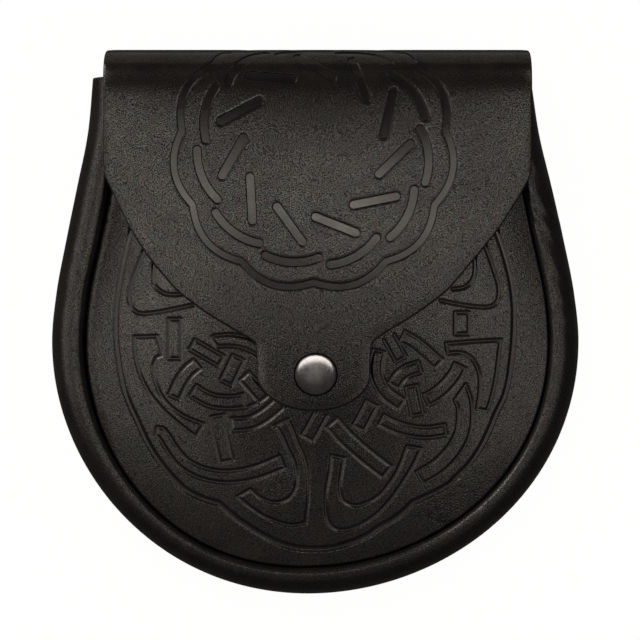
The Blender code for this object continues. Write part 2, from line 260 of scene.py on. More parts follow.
    def fold_profile(self) -> tuple[Array, Array, Array]:
        """Outer face of the fold.

        Returns:
            Distance from the fold's top line, positive down the front, with Y and Z there.
        """
        turn = np.linspace(0, math.pi / 2, self.fold_samples)
        flat = np.cos(turn) ** (2 / self.fold_flatness)
        front_y = self.fold_front_y + (self.fold_top_y - self.fold_front_y) * flat
        level = self.flap_z - self._bulge(front_y)
        front_z = self.fold_mid_z + (level - self.fold_mid_z) * np.sin(turn)
        back_y = self.fold_back_y + (self.fold_top_y - self.fold_back_y) * np.cos(turn[::-1])
        back_z = self.fold_mid_z - self.fold_mid_z * np.sin(turn[::-1])
        y = np.concatenate([back_y[:-1], front_y])
        z = np.concatenate([back_z[:-1], front_z])
        length = np.concatenate([[0], np.cumsum(np.hypot(np.diff(y), np.diff(z)))])
        return length - length[len(back_y) - 1], y, z

    def _bulge(self, y: Array) -> Array:
        """How far the flap falls away towards the fold."""
        return self.flap_bulge / 2 * np.clip(y - self.flap_bulge_y, 0, None) ** 2

    def flap_height(self, x: Array, y: Array) -> Array:
        """Outer face of the flap at a place on its front."""
        tip_y = self.flap_rows[-1][0] - self.tab_end_depth
        share = np.clip((self.fold_front_y - y) / (self.fold_front_y - tip_y), 0, None)
        level = self.flap_z + (self.flap_tip_z - self.flap_z) * share
        bend = np.clip((self.fold_top_y - y) / (self.fold_top_y - self.flap_bulge_y), 0, 1)
        arch = self.flap_arch * bend**2 * (3 - 2 * bend) * (x / self.fold_half) ** 2
        return level - arch - self._bulge(y)

    def panel_share(self, x: Array, y: Array) -> Array:
        """How far out a place on the front panel lies, from 0 in its middle to 1 at its edge."""
        across = np.abs(x - self.seam_centre(y))
        above = np.minimum(across / self.seam_half(y), 1)
        half = self.seam_half(self.widest_y)
        down = np.clip((self.widest_y - y) / self.seam_depth, 0, None)
        power = self.seam_roundness
        below = np.minimum(((across / half) ** power + down**power) ** (1 / power), 1)
        return np.where(y > self.widest_y, above, below)

    def panel_height(self, x: Array, y: Array) -> Array:
        """Outer face of the front panel at a place on it."""
        mouth = np.clip((y - self.mouth_y) / (self.panel_top_y - self.mouth_y), 0, None)
        dome = self.panel_dome * (1 - mouth**2)
        return self.panel_edge_z + dome * (1 - self.panel_share(x, y) ** self.panel_dome_power)


@dataclass(frozen=True)
class Lean:
    """The pouch's lie on the ground: on its belt loops and on the bottom edge of its back panel."""

    matrix: Matrix

    @classmethod
    def from_frame(cls, shape: PouchShape, loops: BeltLoopSizes) -> Lean:
        """Works out the lean from the loops' depth and their place in the frame.

        Args:
            shape: The pouch's shape.
            loops: The belt loops' sizes.

        Returns:
            The lean, as a matrix from millimetres in the pouch's frame to metres in the world.
        """
        bottom_y = shape.widest_y - shape.rim_depth + shape.back_inset
        foot_y = loops.centre_y - loops.tunnel / 2
        angle = math.atan2(loops.clear + loops.thick, foot_y - bottom_y)
        top_y = loops.centre_y + loops.tunnel / 2 + loops.rise + loops.tab
        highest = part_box("belt_loop_left")[1]
        outer = shape.gap + loops.thick
        shift_y = highest[1] / MM - (top_y * math.cos(angle) + outer * math.sin(angle))
        shift_z = highest[2] / MM - (top_y * math.sin(angle) - shape.gap * math.cos(angle))
        turn = Matrix.Rotation(angle, 4, "X")
        return cls(Matrix.Scale(MM, 4) @ Matrix.Translation((0, shift_y, shift_z)) @ turn)

    def place(self, piece: bpy.types.Object) -> None:
        """Takes a piece made at the pouch's own frame to the world, in its mesh."""
        piece.data.transform(self.matrix)
        piece.data.update()

    def spot(self, x: float, y: float, z: float) -> Vector:
        """World place of a point of the pouch's frame."""
        return self.matrix @ Vector((x, y, z))


# ---------------------------------------------------------------- pressed lines


def shares(start: Array, end: Array, step: float) -> Array:
    """Even shares of the way between two points, from 0 up to but without 1."""
    count = max(math.ceil(float(np.linalg.norm(end - start)) / step), 1)
    return (np.arange(count) / count)[:, None]


def smooth_run(points: Run | Array, step: float) -> Array:
    """A smooth curve through points, sampled evenly enough to build a mesh on.

    Args:
        points: The points to pass through.
        step: Longest stretch between two samples.

    Returns:
        One row of X and Y for each sample.
    """
    rows = np.array(points, float)
    padded = np.vstack([2 * rows[:1] - rows[1:2], rows, 2 * rows[-1:] - rows[-2:-1]])
    pieces = []
    for a, b, c, d in zip(padded, padded[1:], padded[2:], padded[3:]):
        t = shares(b, c, step)
        cubic = 2 * b + (c - a) * t + (2 * a - 5 * b + 4 * c - d) * t**2
        pieces.append(0.5 * (cubic + (3 * b - a - 3 * c + d) * t**3))
    return np.vstack([*pieces, rows[-1:]])


def straight_run(points: list[Array | Point], step: float) -> Array:
    """Straight stretches between points, sampled as evenly."""
    rows = [np.array(point, float) for point in points]
    pieces = []
    for start, end in zip(rows, rows[1:]):
        pieces.append(start + (end - start) * shares(start, end, step))
    pieces.append(rows[-1][None])
    return np.vstack(pieces)


def parallel(run: Array, offset: Array | float) -> Array:
    """A run moved sideways, to its left where the offset is positive."""
    along = np.gradient(run, axis=0)
    along /= np.maximum(np.linalg.norm(along, axis=1), TINY)[:, None]
    left = np.column_stack([-along[:, 1], along[:, 0]])
    return run + left * np.reshape(offset, (-1, 1))


def way_from(points: Array, lines: list[Array], at_once: int = 2000) -> Array:
    """Way to each point from the nearest place on some polylines, found for some points at once."""
    starts = np.vstack([line[:-1] for line in lines])
    ends = np.vstack([line[1:] for line in lines])
    along = ends - starts
    length = np.maximum((along**2).sum(axis=1), TINY**2)
    ways = np.empty((len(points), 2))
    for first in range(0, len(points), at_once):
        some = points[first : first + at_once, None, :]
        t = np.clip(((some - starts) * along).sum(axis=2) / length, 0, 1)
        off = some - starts - along * t[..., None]
        nearest = (off**2).sum(axis=2).argmin(axis=1)
        ways[first : first + at_once] = off[np.arange(len(off)), nearest]
    return ways


def distance_to(points: Array, lines: list[Array]) -> Array:
    """Distance from each point to the nearest of some polylines."""
    return np.linalg.norm(way_from(points, lines), axis=1)


def inside(points: Array, loop: Array) -> Array:
    """Whether each point lies inside a closed loop."""
    found = np.zeros(len(points), bool)
    x, y = points.T
    for (ax, ay), (bx, by) in zip(loop, np.roll(loop, -1, axis=0)):
        crosses = (ay > y) != (by > y)
        if by != ay:
            found ^= crosses & (x < (bx - ax) * (y - ay) / (by - ay) + ax)
    return found


def within(points: Array, loops: list[Array]) -> Array:
    """Whether each point lies inside an outline and outside its holes."""
    kept = inside(points, loops[0])
    for hole in loops[1:]:
        kept &= ~inside(points, hole)
    return kept


def on_circle(turn: Array, radius: float) -> Array:
    """Points of a circle round the origin."""
    return radius * np.column_stack([np.cos(turn), np.sin(turn)])


@dataclass(frozen=True)
class Channel:
    """Cross-section of a pressed line: its floor, its wall, the lip that is drawn down beside it, and the
    shade painted on its wall.
    """

    wide_wall = 0.8
    wide_floor = 0.9
    floor_ring = 0.4

    floor: float
    top: float
    depth: float
    lip: float = 0.0
    lip_share: float = 0.0
    # How strongly shade is painted on the wall, darkening its colour and gloss towards black
    painted_shade: float = 0.8

    def _steps(self, distance: Array) -> list[tuple[float, float, Array]]:
        """Share, reach and run of the wall and of the lip at a distance from the line."""
        found = []
        for share, top in ((1 - self.lip_share, self.top), (self.lip_share, self.top + self.lip)):
            reach = top - self.floor
            found.append((share, reach, np.clip((top - distance) / reach, 0, 1)))
        return found

    def share(self, distance: Array) -> Array:
        """How far the leather is pressed, from 0 beside the line to 1 on its floor."""
        return sum(share * t * t * (3 - 2 * t) for share, _, t in self._steps(distance))

    def steepness(self, distance: Array) -> Array:
        """Slope of the wall at a distance from the line, rising outwards."""
        slopes = (share * 6 * t * (1 - t) / reach for share, reach, t in self._steps(distance))
        return self.depth * sum(slopes)

    def wall(self, distance: Array) -> Array:
        """Painted shade on the wall at a distance from the line: how far its colour and gloss are darkened.
        """
        t = self._steps(distance)[0][2]
        return self.painted_shade * np.minimum(8 * t * (1 - t), 1)

    def rings(self, shoulder: float) -> list[float]:
        """Distances from the line at which the mesh needs points."""
        wall = self.top - self.floor
        steps = 4 if wall > self.wide_wall else 2
        rings = [self.floor + wall * part / steps for part in range(steps + 1)]
        rings += [self.top + self.lip / 2, self.top + self.lip] if self.lip else [self.top + shoulder]
        return rings + ([self.floor * self.floor_ring] if self.floor > self.wide_floor else [])


class End(Enum):
    """How a band ends."""

    CLOSED = "closed by a line across it"
    OPEN = "running on under another piece"


@dataclass(frozen=True)
class Sweep:
    """An open line of smooth stretches; each stretch starts where the last one ended."""

    stretches: tuple[Run, ...]

    def lines(self, step: float) -> list[Array]:
        """Middles of the pressed channels."""
        found = []
        last: Run = ()
        for stretch in self.stretches:
            found.append(smooth_run((*last, *stretch), step))
            last = stretch[-1:]
        return found


@dataclass(frozen=True)
class Band:
    """A ribbon outlined by a line along each side and across its closed ends."""

    run: Run
    width: float
    start: End = End.CLOSED
    end: End = End.CLOSED
    start_width: float = 0.0
    tip: Run = ()

    def lines(self, step: float) -> list[Array]:
        """Middles of the pressed channels."""
        middle = smooth_run(self.run, step)
        half = np.linspace(self.start_width or self.width, self.width, len(middle)) / 2
        left, right = parallel(middle, half), parallel(middle, -half)
        found = [left, right]
        if self.start is End.CLOSED:
            found.append(straight_run([left[0], *self.tip, right[0]], step))
        if self.end is End.CLOSED:
            found.append(straight_run([left[-1], right[-1]], step))
        return found


@dataclass(frozen=True)
class Outline:
    """A closed line of smooth sides that meet at corners; each side starts at the last corner."""

    sides: tuple[Run, ...]

    def lines(self, step: float) -> list[Array]:
        """Middles of the pressed channels."""
        found = []
        corner = self.sides[-1][-1]
        for side in self.sides:
            found.append(smooth_run((corner, *side), step))
            corner = side[-1]
        return found


class PressedPattern:
    """The pressed lines of one piece of leather."""

    step = 0.7
    shoulder = 0.55
    end_step = 0.45
    slack = 0.03

    def __init__(self) -> None:
        """Starts with plain leather."""
        self.marks: list[tuple[Channel, list[Array]]] = []

    def press(self, channel: Channel, lines: list[Array]) -> None:
        """Adds lines of one cross-section."""
        self.marks.append((channel, lines))

    def relief(self, points: Array) -> tuple[Array, Array, Array, Array]:
        """How the leather is pressed.

        Args:
            points: Places on the flat leather.

        Returns:
            The depth at each place, the share of a channel's full depth, the shade painted on a
            channel's wall, and the slope along X and Y.
        """
        depth, share, wall = (np.zeros(len(points)) for _ in range(3))
        slope = np.zeros((len(points), 2))
        for channel, lines in self.marks:
            way = way_from(points, lines)
            distance = np.linalg.norm(way, axis=1)
            here = channel.share(distance)
            deeper = here * channel.depth > depth
            steep = channel.steepness(distance) / np.maximum(distance, TINY)
            slope[deeper] = (way * steep[:, None])[deeper]
            # Shade painted on the channel's wall
            wall[deeper] = channel.wall(distance)[deeper]
            depth = np.maximum(depth, here * channel.depth)
            share = np.maximum(share, here)
        return depth, share, wall, slope

    def clear_of(self, points: Array, margin: float) -> Array:
        """Whether each point is further than the margin from every channel's edge."""
        clear = np.ones(len(points), bool)
        for channel, lines in self.marks:
            clear &= distance_to(points, lines) > channel.top + channel.lip + margin
        return clear

    def mesh_points(self) -> Array:
        """Places along each channel's floor, wall and shoulder, where the mesh needs points."""
        found = []
        for channel, lines in self.marks:
            for ring in channel.rings(self.shoulder):
                placed = []
                around = max(round(2 * math.pi * ring / self.end_step), 8)
                circle = on_circle(np.linspace(0, 2 * math.pi, around, endpoint=False), ring)
                for line in lines:
                    placed += [parallel(line, ring), parallel(line, -ring)]
                    placed += [line[0] + circle, line[-1] + circle]
                points = np.vstack(placed)
                found.append(points[distance_to(points, lines) > ring - self.slack])
        return np.vstack(found)


# ---------------------------------------------------------------- sheets of leather


def thinned(points: Array, closest: float) -> Array:
    """The points with those that share a small cell with an earlier one left out."""
    cells = np.round(points / closest).astype(np.int64)
    _, first = np.unique(cells, axis=0, return_index=True)
    return points[np.sort(first)]


def triangulated(
    points: Array, loops: list[Array], merge: float = 1e-4
) -> tuple[Array, Array, list[Array]]:
    """Triangles over a flat piece.

    Args:
        points: Places inside the piece.
        loops: Its outline and then its holes, each a closed loop.
        merge: Distance within which places become one.

    Returns:
        The places used, the triangles facing up, and the places of each loop's points.
    """
    rows = np.vstack([*loops, points])
    edges, first = [], 0
    for loop in loops:
        count = len(loop)
        edges += [(first + i, first + (i + 1) % count) for i in range(count)]
        first += count
    made = delaunay_2d_cdt([Vector(row) for row in rows], edges, [], 0, merge)
    places = np.array([tuple(place) for place in made[0]])
    faces = np.array(made[2])
    faces = faces[within(places[faces].mean(axis=1), loops)]
    a, b, c = (places[faces[:, i]] for i in range(3))
    ab, ac = b - a, c - a
    turned = ab[:, 0] * ac[:, 1] - ab[:, 1] * ac[:, 0] < 0
    faces[turned] = faces[turned][:, ::-1]
    new_index = np.empty(len(rows), int)
    for index, origins in enumerate(made[3]):
        new_index[list(origins)] = index
    found, first = [], 0
    for loop in loops:
        found.append(new_index[first : first + len(loop)])
        first += len(loop)
    return places, faces, found


@dataclass
class LeatherSheet:
    """A cut piece of leather: an outer face with pressed lines, rounded cut edges and an inner face."""

    surface: Surface
    loops: list[Array]
    thick: float
    pattern: PressedPattern
    spacing: float = 2.6
    edge_round: float = 0.9
    edge_drop: float = 0.7
    steepest: float = 0.98
    soft_reach: float = 4.0
    soft_drop: float = 0.0
    # Distances from a cut edge at which the mesh has points, besides the rounding's own
    edge_rings: tuple[float, ...] = (0.13, 0.36, 0.63)
    edge_margin: float = 0.1
    detail_margin: float = 0.25
    grid_clear: float = 0.4
    closest: float = 0.1
    inner_coarseness: float = 1.3
    inner_margin: float = 0.5
    # Where the finish turns into that of the cut edge: its reach, and its strength on the edge
    cut_reach: float = 0.35
    cut_strength: float = 1.4
    edge_line: float = 0.05
    probe: float = 0.05

    def _grid(self, spacing: float, margin: float) -> Array:
        """Places in even rows over the piece, clear of its edges and of pressed lines."""
        low, high = self.loops[0].min(axis=0), self.loops[0].max(axis=0)
        rows = []
        for number, y in enumerate(np.arange(low[1], high[1], spacing * TRIANGLE_RISE)):
            x = np.arange(low[0] + spacing / 2 * (number % 2), high[0], spacing)
            rows.append(np.column_stack([x, np.full(len(x), y)]))
        points = np.vstack(rows)
        return points[self._on_piece(points, margin)]

    def _on_piece(self, points: Array, margin: float) -> Array:
        """Whether each place lies on the piece, further than a margin from its edges."""
        return within(points, self.loops) & (distance_to(points, self._closed()) > margin)

    def _closed(self) -> list[Array]:
        """The loops as lines that end where they start."""
        return [np.vstack([loop, loop[:1]]) for loop in self.loops]

    def _facing(self, flat: Array, slope: Array) -> Array:
        """Directions that the outer face looks in where its relief has a slope along X and Y."""
        reach = self.probe
        across, along = np.array([reach, 0.0]), np.array([0.0, reach])
        right = (self.surface(flat + across) - self.surface(flat - across)) / (2 * reach)
        up = (self.surface(flat + along) - self.surface(flat - along)) / (2 * reach)
        facing = np.cross(right, up)
        facing /= np.linalg.norm(facing, axis=1)[:, None]
        facing -= slope[:, :1] * right + slope[:, 1:] * up
        return facing / np.linalg.norm(facing, axis=1)[:, None]

    def _raised(self, flat: Array, height: Array) -> Array:
        """Places on the piece in space, at a height over its outer face."""
        return self.surface(flat) + self._facing(flat, np.zeros((len(flat), 2))) * height[:, None]

    def _cut_edge(self, flat: Array) -> tuple[Array, Array, Array]:
        """Rounding of the cut edges: distance from the edge, drop, and slope along X and Y."""
        way = way_from(flat, self._closed())
        distance = np.linalg.norm(way, axis=1)
        share = np.clip(1 - distance / self.edge_round, 0, 1)
        soft = np.clip(1 - distance / self.soft_reach, 0, 1)
        level = np.sqrt(1 - np.minimum(share, self.steepest) ** 2)
        drop = self.edge_drop * (1 - np.sqrt(1 - share**2)) + self.soft_drop * soft**2
        steep = self.edge_drop / self.edge_round * share / level
        steep += 2 * self.soft_drop / self.soft_reach * soft
        return distance, drop, way * (steep / np.maximum(distance, TINY))[:, None]

    def _cut_mark(self, from_edge: Array) -> Array:
        """How much of a place's finish is that of the cut edge."""
        return np.clip(self.cut_strength - from_edge / self.cut_reach, 0, 1)

    def _outer_points(self) -> Array:
        """Places where the outer face's mesh has points, denser along its edges and pressed lines."""
        edge = np.vstack(
            [
                parallel(np.vstack([loop[-1:], loop, loop[:1]]), ring * side)[1:-1]
                for loop in self.loops
                for ring in (*self.edge_rings, self.edge_round)
                for side in (-1, 1)
            ]
        )
        edge = edge[self._on_piece(edge, self.edge_margin)]
        detail = self.pattern.mesh_points()
        detail = detail[self._on_piece(detail, self.detail_margin)]
        clear = self.grid_clear * self.spacing
        grid = self._grid(self.spacing, self.edge_round + clear)
        grid = grid[self.pattern.clear_of(grid, self.pattern.shoulder + clear)]
        return thinned(np.vstack([detail, edge, grid]), self.closest)

    def build(self, name: str) -> bpy.types.Object:
        """Makes the piece as a closed mesh.

        Args:
            name: The piece's name.

        Returns:
            The new object, with the attributes pressed, wall (the shade painted on the pressed lines'
            walls) and cut_edge.
        """
        flat, faces, outer_loops = triangulated(self._outer_points(), self.loops)
        depth, share, wall, slope = self.pattern.relief(flat)
        from_edge, drop, edge_slope = self._cut_edge(flat)
        outer = self._raised(flat, -depth - drop)
        facing = self._facing(flat, slope + edge_slope)
        facing[from_edge < self.edge_line] = 0.0

        inner_grid = self._grid(self.spacing * self.inner_coarseness, self.edge_round + self.inner_margin)
        inner_flat, inner_faces, inner_loops = triangulated(inner_grid, self.loops)
        from_edge_inside, inner_drop, _ = self._cut_edge(inner_flat)
        inner = self._raised(inner_flat, -self.thick + inner_drop)

        places = [outer, inner]
        triangles = [faces, inner_faces[:, ::-1] + len(outer)]
        pressed = [share, np.zeros(len(inner))]
        cut = [self._cut_mark(from_edge), self._cut_mark(from_edge_inside)]
        count = len(outer) + len(inner)
        for loop, top, foot in zip(self.loops, outer_loops, inner_loops):
            middle = self._raised(loop, np.full(len(loop), -self.thick / 2))
            ring = np.arange(count, count + len(loop))
            places.append(middle)
            pressed.append(np.zeros(len(loop)))
            cut.append(np.ones(len(loop)))
            count += len(loop)
            for upper, lower in ((top, ring), (ring, foot + len(outer))):
                a, b = upper, np.roll(upper, -1)
                c, d = lower, np.roll(lower, -1)
                triangles += [np.column_stack([a, c, b]), np.column_stack([b, c, d])]
        facings, painted_wall_shades = np.zeros((count, 3)), np.zeros(count)
        # The wall mark holds the shade painted on the pressed lines' walls
        facings[: len(outer)], painted_wall_shades[: len(outer)] = facing, wall
        marks = {"pressed": np.concatenate(pressed), "wall": painted_wall_shades, "cut_edge": np.concatenate(cut)}
        return mesh_piece(name, np.vstack(places), np.vstack(triangles), marks, facings)


def mark_points(mesh: bpy.types.Mesh, mark: str, values: Array) -> None:
    """Gives each point of a mesh a value that materials can read."""
    layer = mesh.attributes.new(mark, "FLOAT", "POINT")
    layer.data.foreach_set("value", values.astype(np.float32))


def mesh_piece(
    name: str, places: Array, faces: Array, marks: dict[str, Array], facings: Array
) -> bpy.types.Object:
    """A mesh object from its points and faces.

    Args:
        name: The piece's name.
        places: Points in millimetres.
        faces: Triangles as rows of point numbers.
        marks: Values at each point, by the name that materials read.
        facings: Direction of the surface at each point, or zeros where its faces give it.

    Returns:
        The new object, shaded smooth.
    """
    mesh = bpy.data.meshes.new(name)
    mesh.from_pydata(places.tolist(), [], faces.tolist())
    mesh.validate()
    for mark, values in marks.items():
        mark_points(mesh, mark, values)
    mesh.shade_smooth()
    mesh.update()
    mesh.normals_split_custom_set_from_vertices(facings.tolist())
    piece = bpy.data.objects.new(name, mesh)
    bpy.context.scene.collection.objects.link(piece)
    return piece


def set_places(piece: bpy.types.Object, places: Array) -> None:
    """Moves all points of a mesh."""
    piece.data.vertices.foreach_set("co", places.astype(np.float32).ravel())
    piece.data.update()


def get_places(piece: bpy.types.Object) -> Array:
    """Points of a mesh, one row each."""
    places = np.empty(len(piece.data.vertices) * 3, np.float32)
    piece.data.vertices.foreach_get("co", places)
    return places.reshape(-1, 3).astype(float)


def fresh_start() -> None:
    """Leaves nothing selected, before a new primitive."""
    for piece in bpy.context.selected_objects:
        piece.select_set(False)


def primitive(add: Callable[..., set[str]], name: str, **sizes: float) -> bpy.types.Object:
    """A new primitive, selected alone.

    Args:
        add: The operator that adds it.
        name: Its name.
        sizes: The operator's own sizes.

    Returns:
        The new object.
    """
    fresh_start()
    add(**sizes)
    piece = bpy.context.object
    piece.name = piece.data.name = name
    return piece


def add_wall(piece: bpy.types.Object, thick: float, offset: float) -> None:
    """Gives a sheet its thickness, to one side of it."""
    wall = piece.modifiers.new("leather", "SOLIDIFY")
    wall.thickness = thick
    wall.offset = offset


def apply_modifiers(piece: bpy.types.Object) -> None:
    """Makes a piece's modifiers part of its mesh."""
    fresh_start()
    bpy.context.view_layer.objects.active = piece
    piece.select_set(True)
    for modifier in list(piece.modifiers):
        bpy.ops.object.modifier_apply(modifier=modifier.name)


# ---------------------------------------------------------------- finishes


class NodeSheet:
    """Short ways to add and join a node tree's nodes."""

    def __init__(self, tree: bpy.types.NodeTree) -> None:
        """Works on one tree."""
        self.tree = tree

    def add(self, kind: str, **settings: object) -> bpy.types.Node:
        """A new node with some of its settings made."""
        node = self.tree.nodes.new(kind)
        for name, value in settings.items():
            setattr(node, name, value)
        return node

    def feed(self, socket: Socket, value: object) -> None:
        """Sets a socket to a number or colour, or joins it to another socket."""
        if isinstance(value, Socket):
            self.tree.links.new(value, socket)
        elif value is not None:
            socket.default_value = value

    def sum(self, how: str, a: object, b: object = None, c: object = None) -> Socket:
        """The result of a Math node."""
        node = self.add("ShaderNodeMath", operation=how)
        for socket, value in zip(node.inputs, (a, b, c)):
            self.feed(socket, value)
        return node.outputs[0]

    def spread(
        self, value: object, low: float, high: float, to_low: float = 0.0, to_high: float = 1.0
    ) -> Socket:
        """A value taken smoothly from one range to another."""
        node = self.add("ShaderNodeMapRange", interpolation_type="SMOOTHSTEP")
        for socket, given in zip(node.inputs, (value, low, high, to_low, to_high)):
            self.feed(socket, given)
        return node.outputs[0]

    def noise(self, vector: Socket, scale: float, detail: float, rough: float) -> Socket:
        """The value of a noise texture."""
        node = self.add("ShaderNodeTexNoise")
        for name, value in (("Vector", vector), ("Scale", scale), ("Detail", detail), ("Roughness", rough)):
            self.feed(node.inputs[name], value)
        return node.outputs["Fac"]

    def wander(self, vector: Socket, scale: float) -> Socket:
        """A direction that changes from place to place."""
        node = self.add("ShaderNodeTexNoise")
        self.feed(node.inputs["Vector"], vector)
        self.feed(node.inputs["Scale"], scale)
        return node.outputs["Color"]

    def shifted(self, vector: Socket, way: Socket, reach: float) -> Socket:
        """A place moved some way."""
        node = self.add("ShaderNodeVectorMath", operation="MULTIPLY_ADD")
        for socket, value in zip(node.inputs, (way, (reach, reach, reach), vector)):
            self.feed(socket, value)
        return node.outputs[0]

    def cells(self, vector: Socket, scale: float) -> Socket:
        """Distance from the border of the cell that a place lies in."""
        node = self.add("ShaderNodeTexVoronoi", feature="DISTANCE_TO_EDGE")
        self.feed(node.inputs["Vector"], vector)
        self.feed(node.inputs["Scale"], scale)
        return node.outputs["Distance"]

    def blend(self, share: object, first: object, second: object) -> Socket:
        """A colour between two others."""
        node = self.add("ShaderNodeMix", data_type="RGBA")
        for name, value in (("Factor", share), ("A", first), ("B", second)):
            self.feed(node.inputs[name], value)
        return node.outputs["Result"]

    def place(self) -> Socket:
        """The place on the object."""
        return self.add("ShaderNodeTexCoord").outputs["Object"]

    def mark(self, name: str) -> Socket:
        """The value that a mesh gives its points."""
        return self.add("ShaderNodeAttribute", attribute_name=name).outputs["Fac"]

    def bump(self, height: Socket, strength: float, depth: float) -> Socket:
        """The facing of a surface with a fine relief, its depth in metres."""
        node = self.add("ShaderNodeBump")
        for name, value in (("Strength", strength), ("Distance", depth), ("Height", height)):
            self.feed(node.inputs[name], value)
        return node.outputs["Normal"]


@dataclass(frozen=True)
class LeatherGrain:
    """The grain of full-grain leather; scales are in cells per metre, reaches in metres."""

    name: str = "leather_grain"
    wander_scale: float = 600.0
    pebble_scale: float = 950.0
    pebble_wander: float = 0.0003
    pebble_rim: float = 0.28
    pebble_height: Point = (0.35, 2.2)  # of plain skin, and what creasing adds
    crack_scale: float = 420.0
    crack_wander: float = 0.0014
    crack_turn: float = 0.3
    crack_stretch: float = 0.45
    crack_width: float = 0.13
    crack_depth: float = 3.0
    cracked: Noise = (240.0, 2.0, 0.5)
    cracked_from: Point = (0.42, 0.56)
    fine: Noise = (2300.0, 2.0, 0.6)
    fine_height: float = 2.0
    soft: Noise = (420.0, 3.0, 0.55)
    soft_height: float = 0.6
    mottle: Noise = (75.0, 4.0, 0.6)
    sparkle: Noise = (2700.0, 2.0, 0.6)
    blush: Noise = (190.0, 2.0, 0.5)

    def _cracks(self, sheet: NodeSheet, place: Socket, way: Socket, creasing: Socket) -> Socket:
        """Broken lines along the borders of stretched cells, where the skin is creased."""
        strain = sheet.add("ShaderNodeMapping")
        sheet.feed(strain.inputs["Vector"], place)
        strain.inputs["Rotation"].default_value = (0.0, 0.0, self.crack_turn)
        strain.inputs["Scale"].default_value = (self.crack_stretch, 1.0, 1.0)
        buckled = sheet.shifted(strain.outputs["Vector"], way, self.crack_wander)
        lines = sheet.spread(sheet.cells(buckled, self.crack_scale), 0.0, self.crack_width, 1.0, 0.0)
        broken = sheet.spread(sheet.noise(place, *self.cracked), *self.cracked_from)
        return sheet.sum("MULTIPLY", sheet.sum("MULTIPLY", lines, broken), creasing)

    def group(self) -> bpy.types.NodeTree:
        """Makes the grain, shared by all leather finishes.

        Returns:
            A node group from a place and a creasing to the height of the grain, the mottle of the dye,
            the sparkle of single grains, the blush of warmer and cooler patches and the cracks.
        """
        group = bpy.data.node_groups.new(self.name, "ShaderNodeTree")
        face = group.interface
        face.new_socket("Place", in_out="INPUT", socket_type="NodeSocketVector")
        face.new_socket("Creasing", in_out="INPUT", socket_type="NodeSocketFloat")
        sheet = NodeSheet(group)
        given = sheet.add("NodeGroupInput")
        place, creasing = given.outputs["Place"], given.outputs["Creasing"]
        way = sheet.wander(place, self.wander_scale)
        bent = sheet.shifted(place, way, self.pebble_wander)
        pebble = sheet.spread(sheet.cells(bent, self.pebble_scale), 0.0, self.pebble_rim)
        cracks = self._cracks(sheet, place, way, creasing)
        plain, added = self.pebble_height
        height = sheet.sum("MULTIPLY", pebble, sheet.sum("MULTIPLY_ADD", creasing, added, plain))
        for part, share in (
            (sheet.noise(place, *self.fine), self.fine_height),
            (sheet.noise(place, *self.soft), self.soft_height),
            (cracks, -self.crack_depth),
        ):
            height = sheet.sum("MULTIPLY_ADD", part, share, height)
        made = {"Height": height, "Mottle": sheet.noise(place, *self.mottle)}
        made["Sparkle"] = sheet.noise(place, *self.sparkle)
        made["Blush"] = sheet.noise(place, *self.blush)
        made["Crease"] = cracks
        for name in made:
            face.new_socket(name, in_out="OUTPUT", socket_type="NodeSocketFloat")
        result = sheet.add("NodeGroupOutput")
        for name, socket in made.items():
            sheet.feed(result.inputs[name], socket)
        return group


def blank_finish(name: str) -> tuple[bpy.types.Material, NodeSheet, bpy.types.NodeInputs]:
    """A new material, its nodes and the inputs of its shader."""
    made = bpy.data.materials.new(name)
    made.use_nodes = True
    shader = made.node_tree.nodes["Principled BSDF"]
    return made, NodeSheet(made.node_tree), shader.inputs


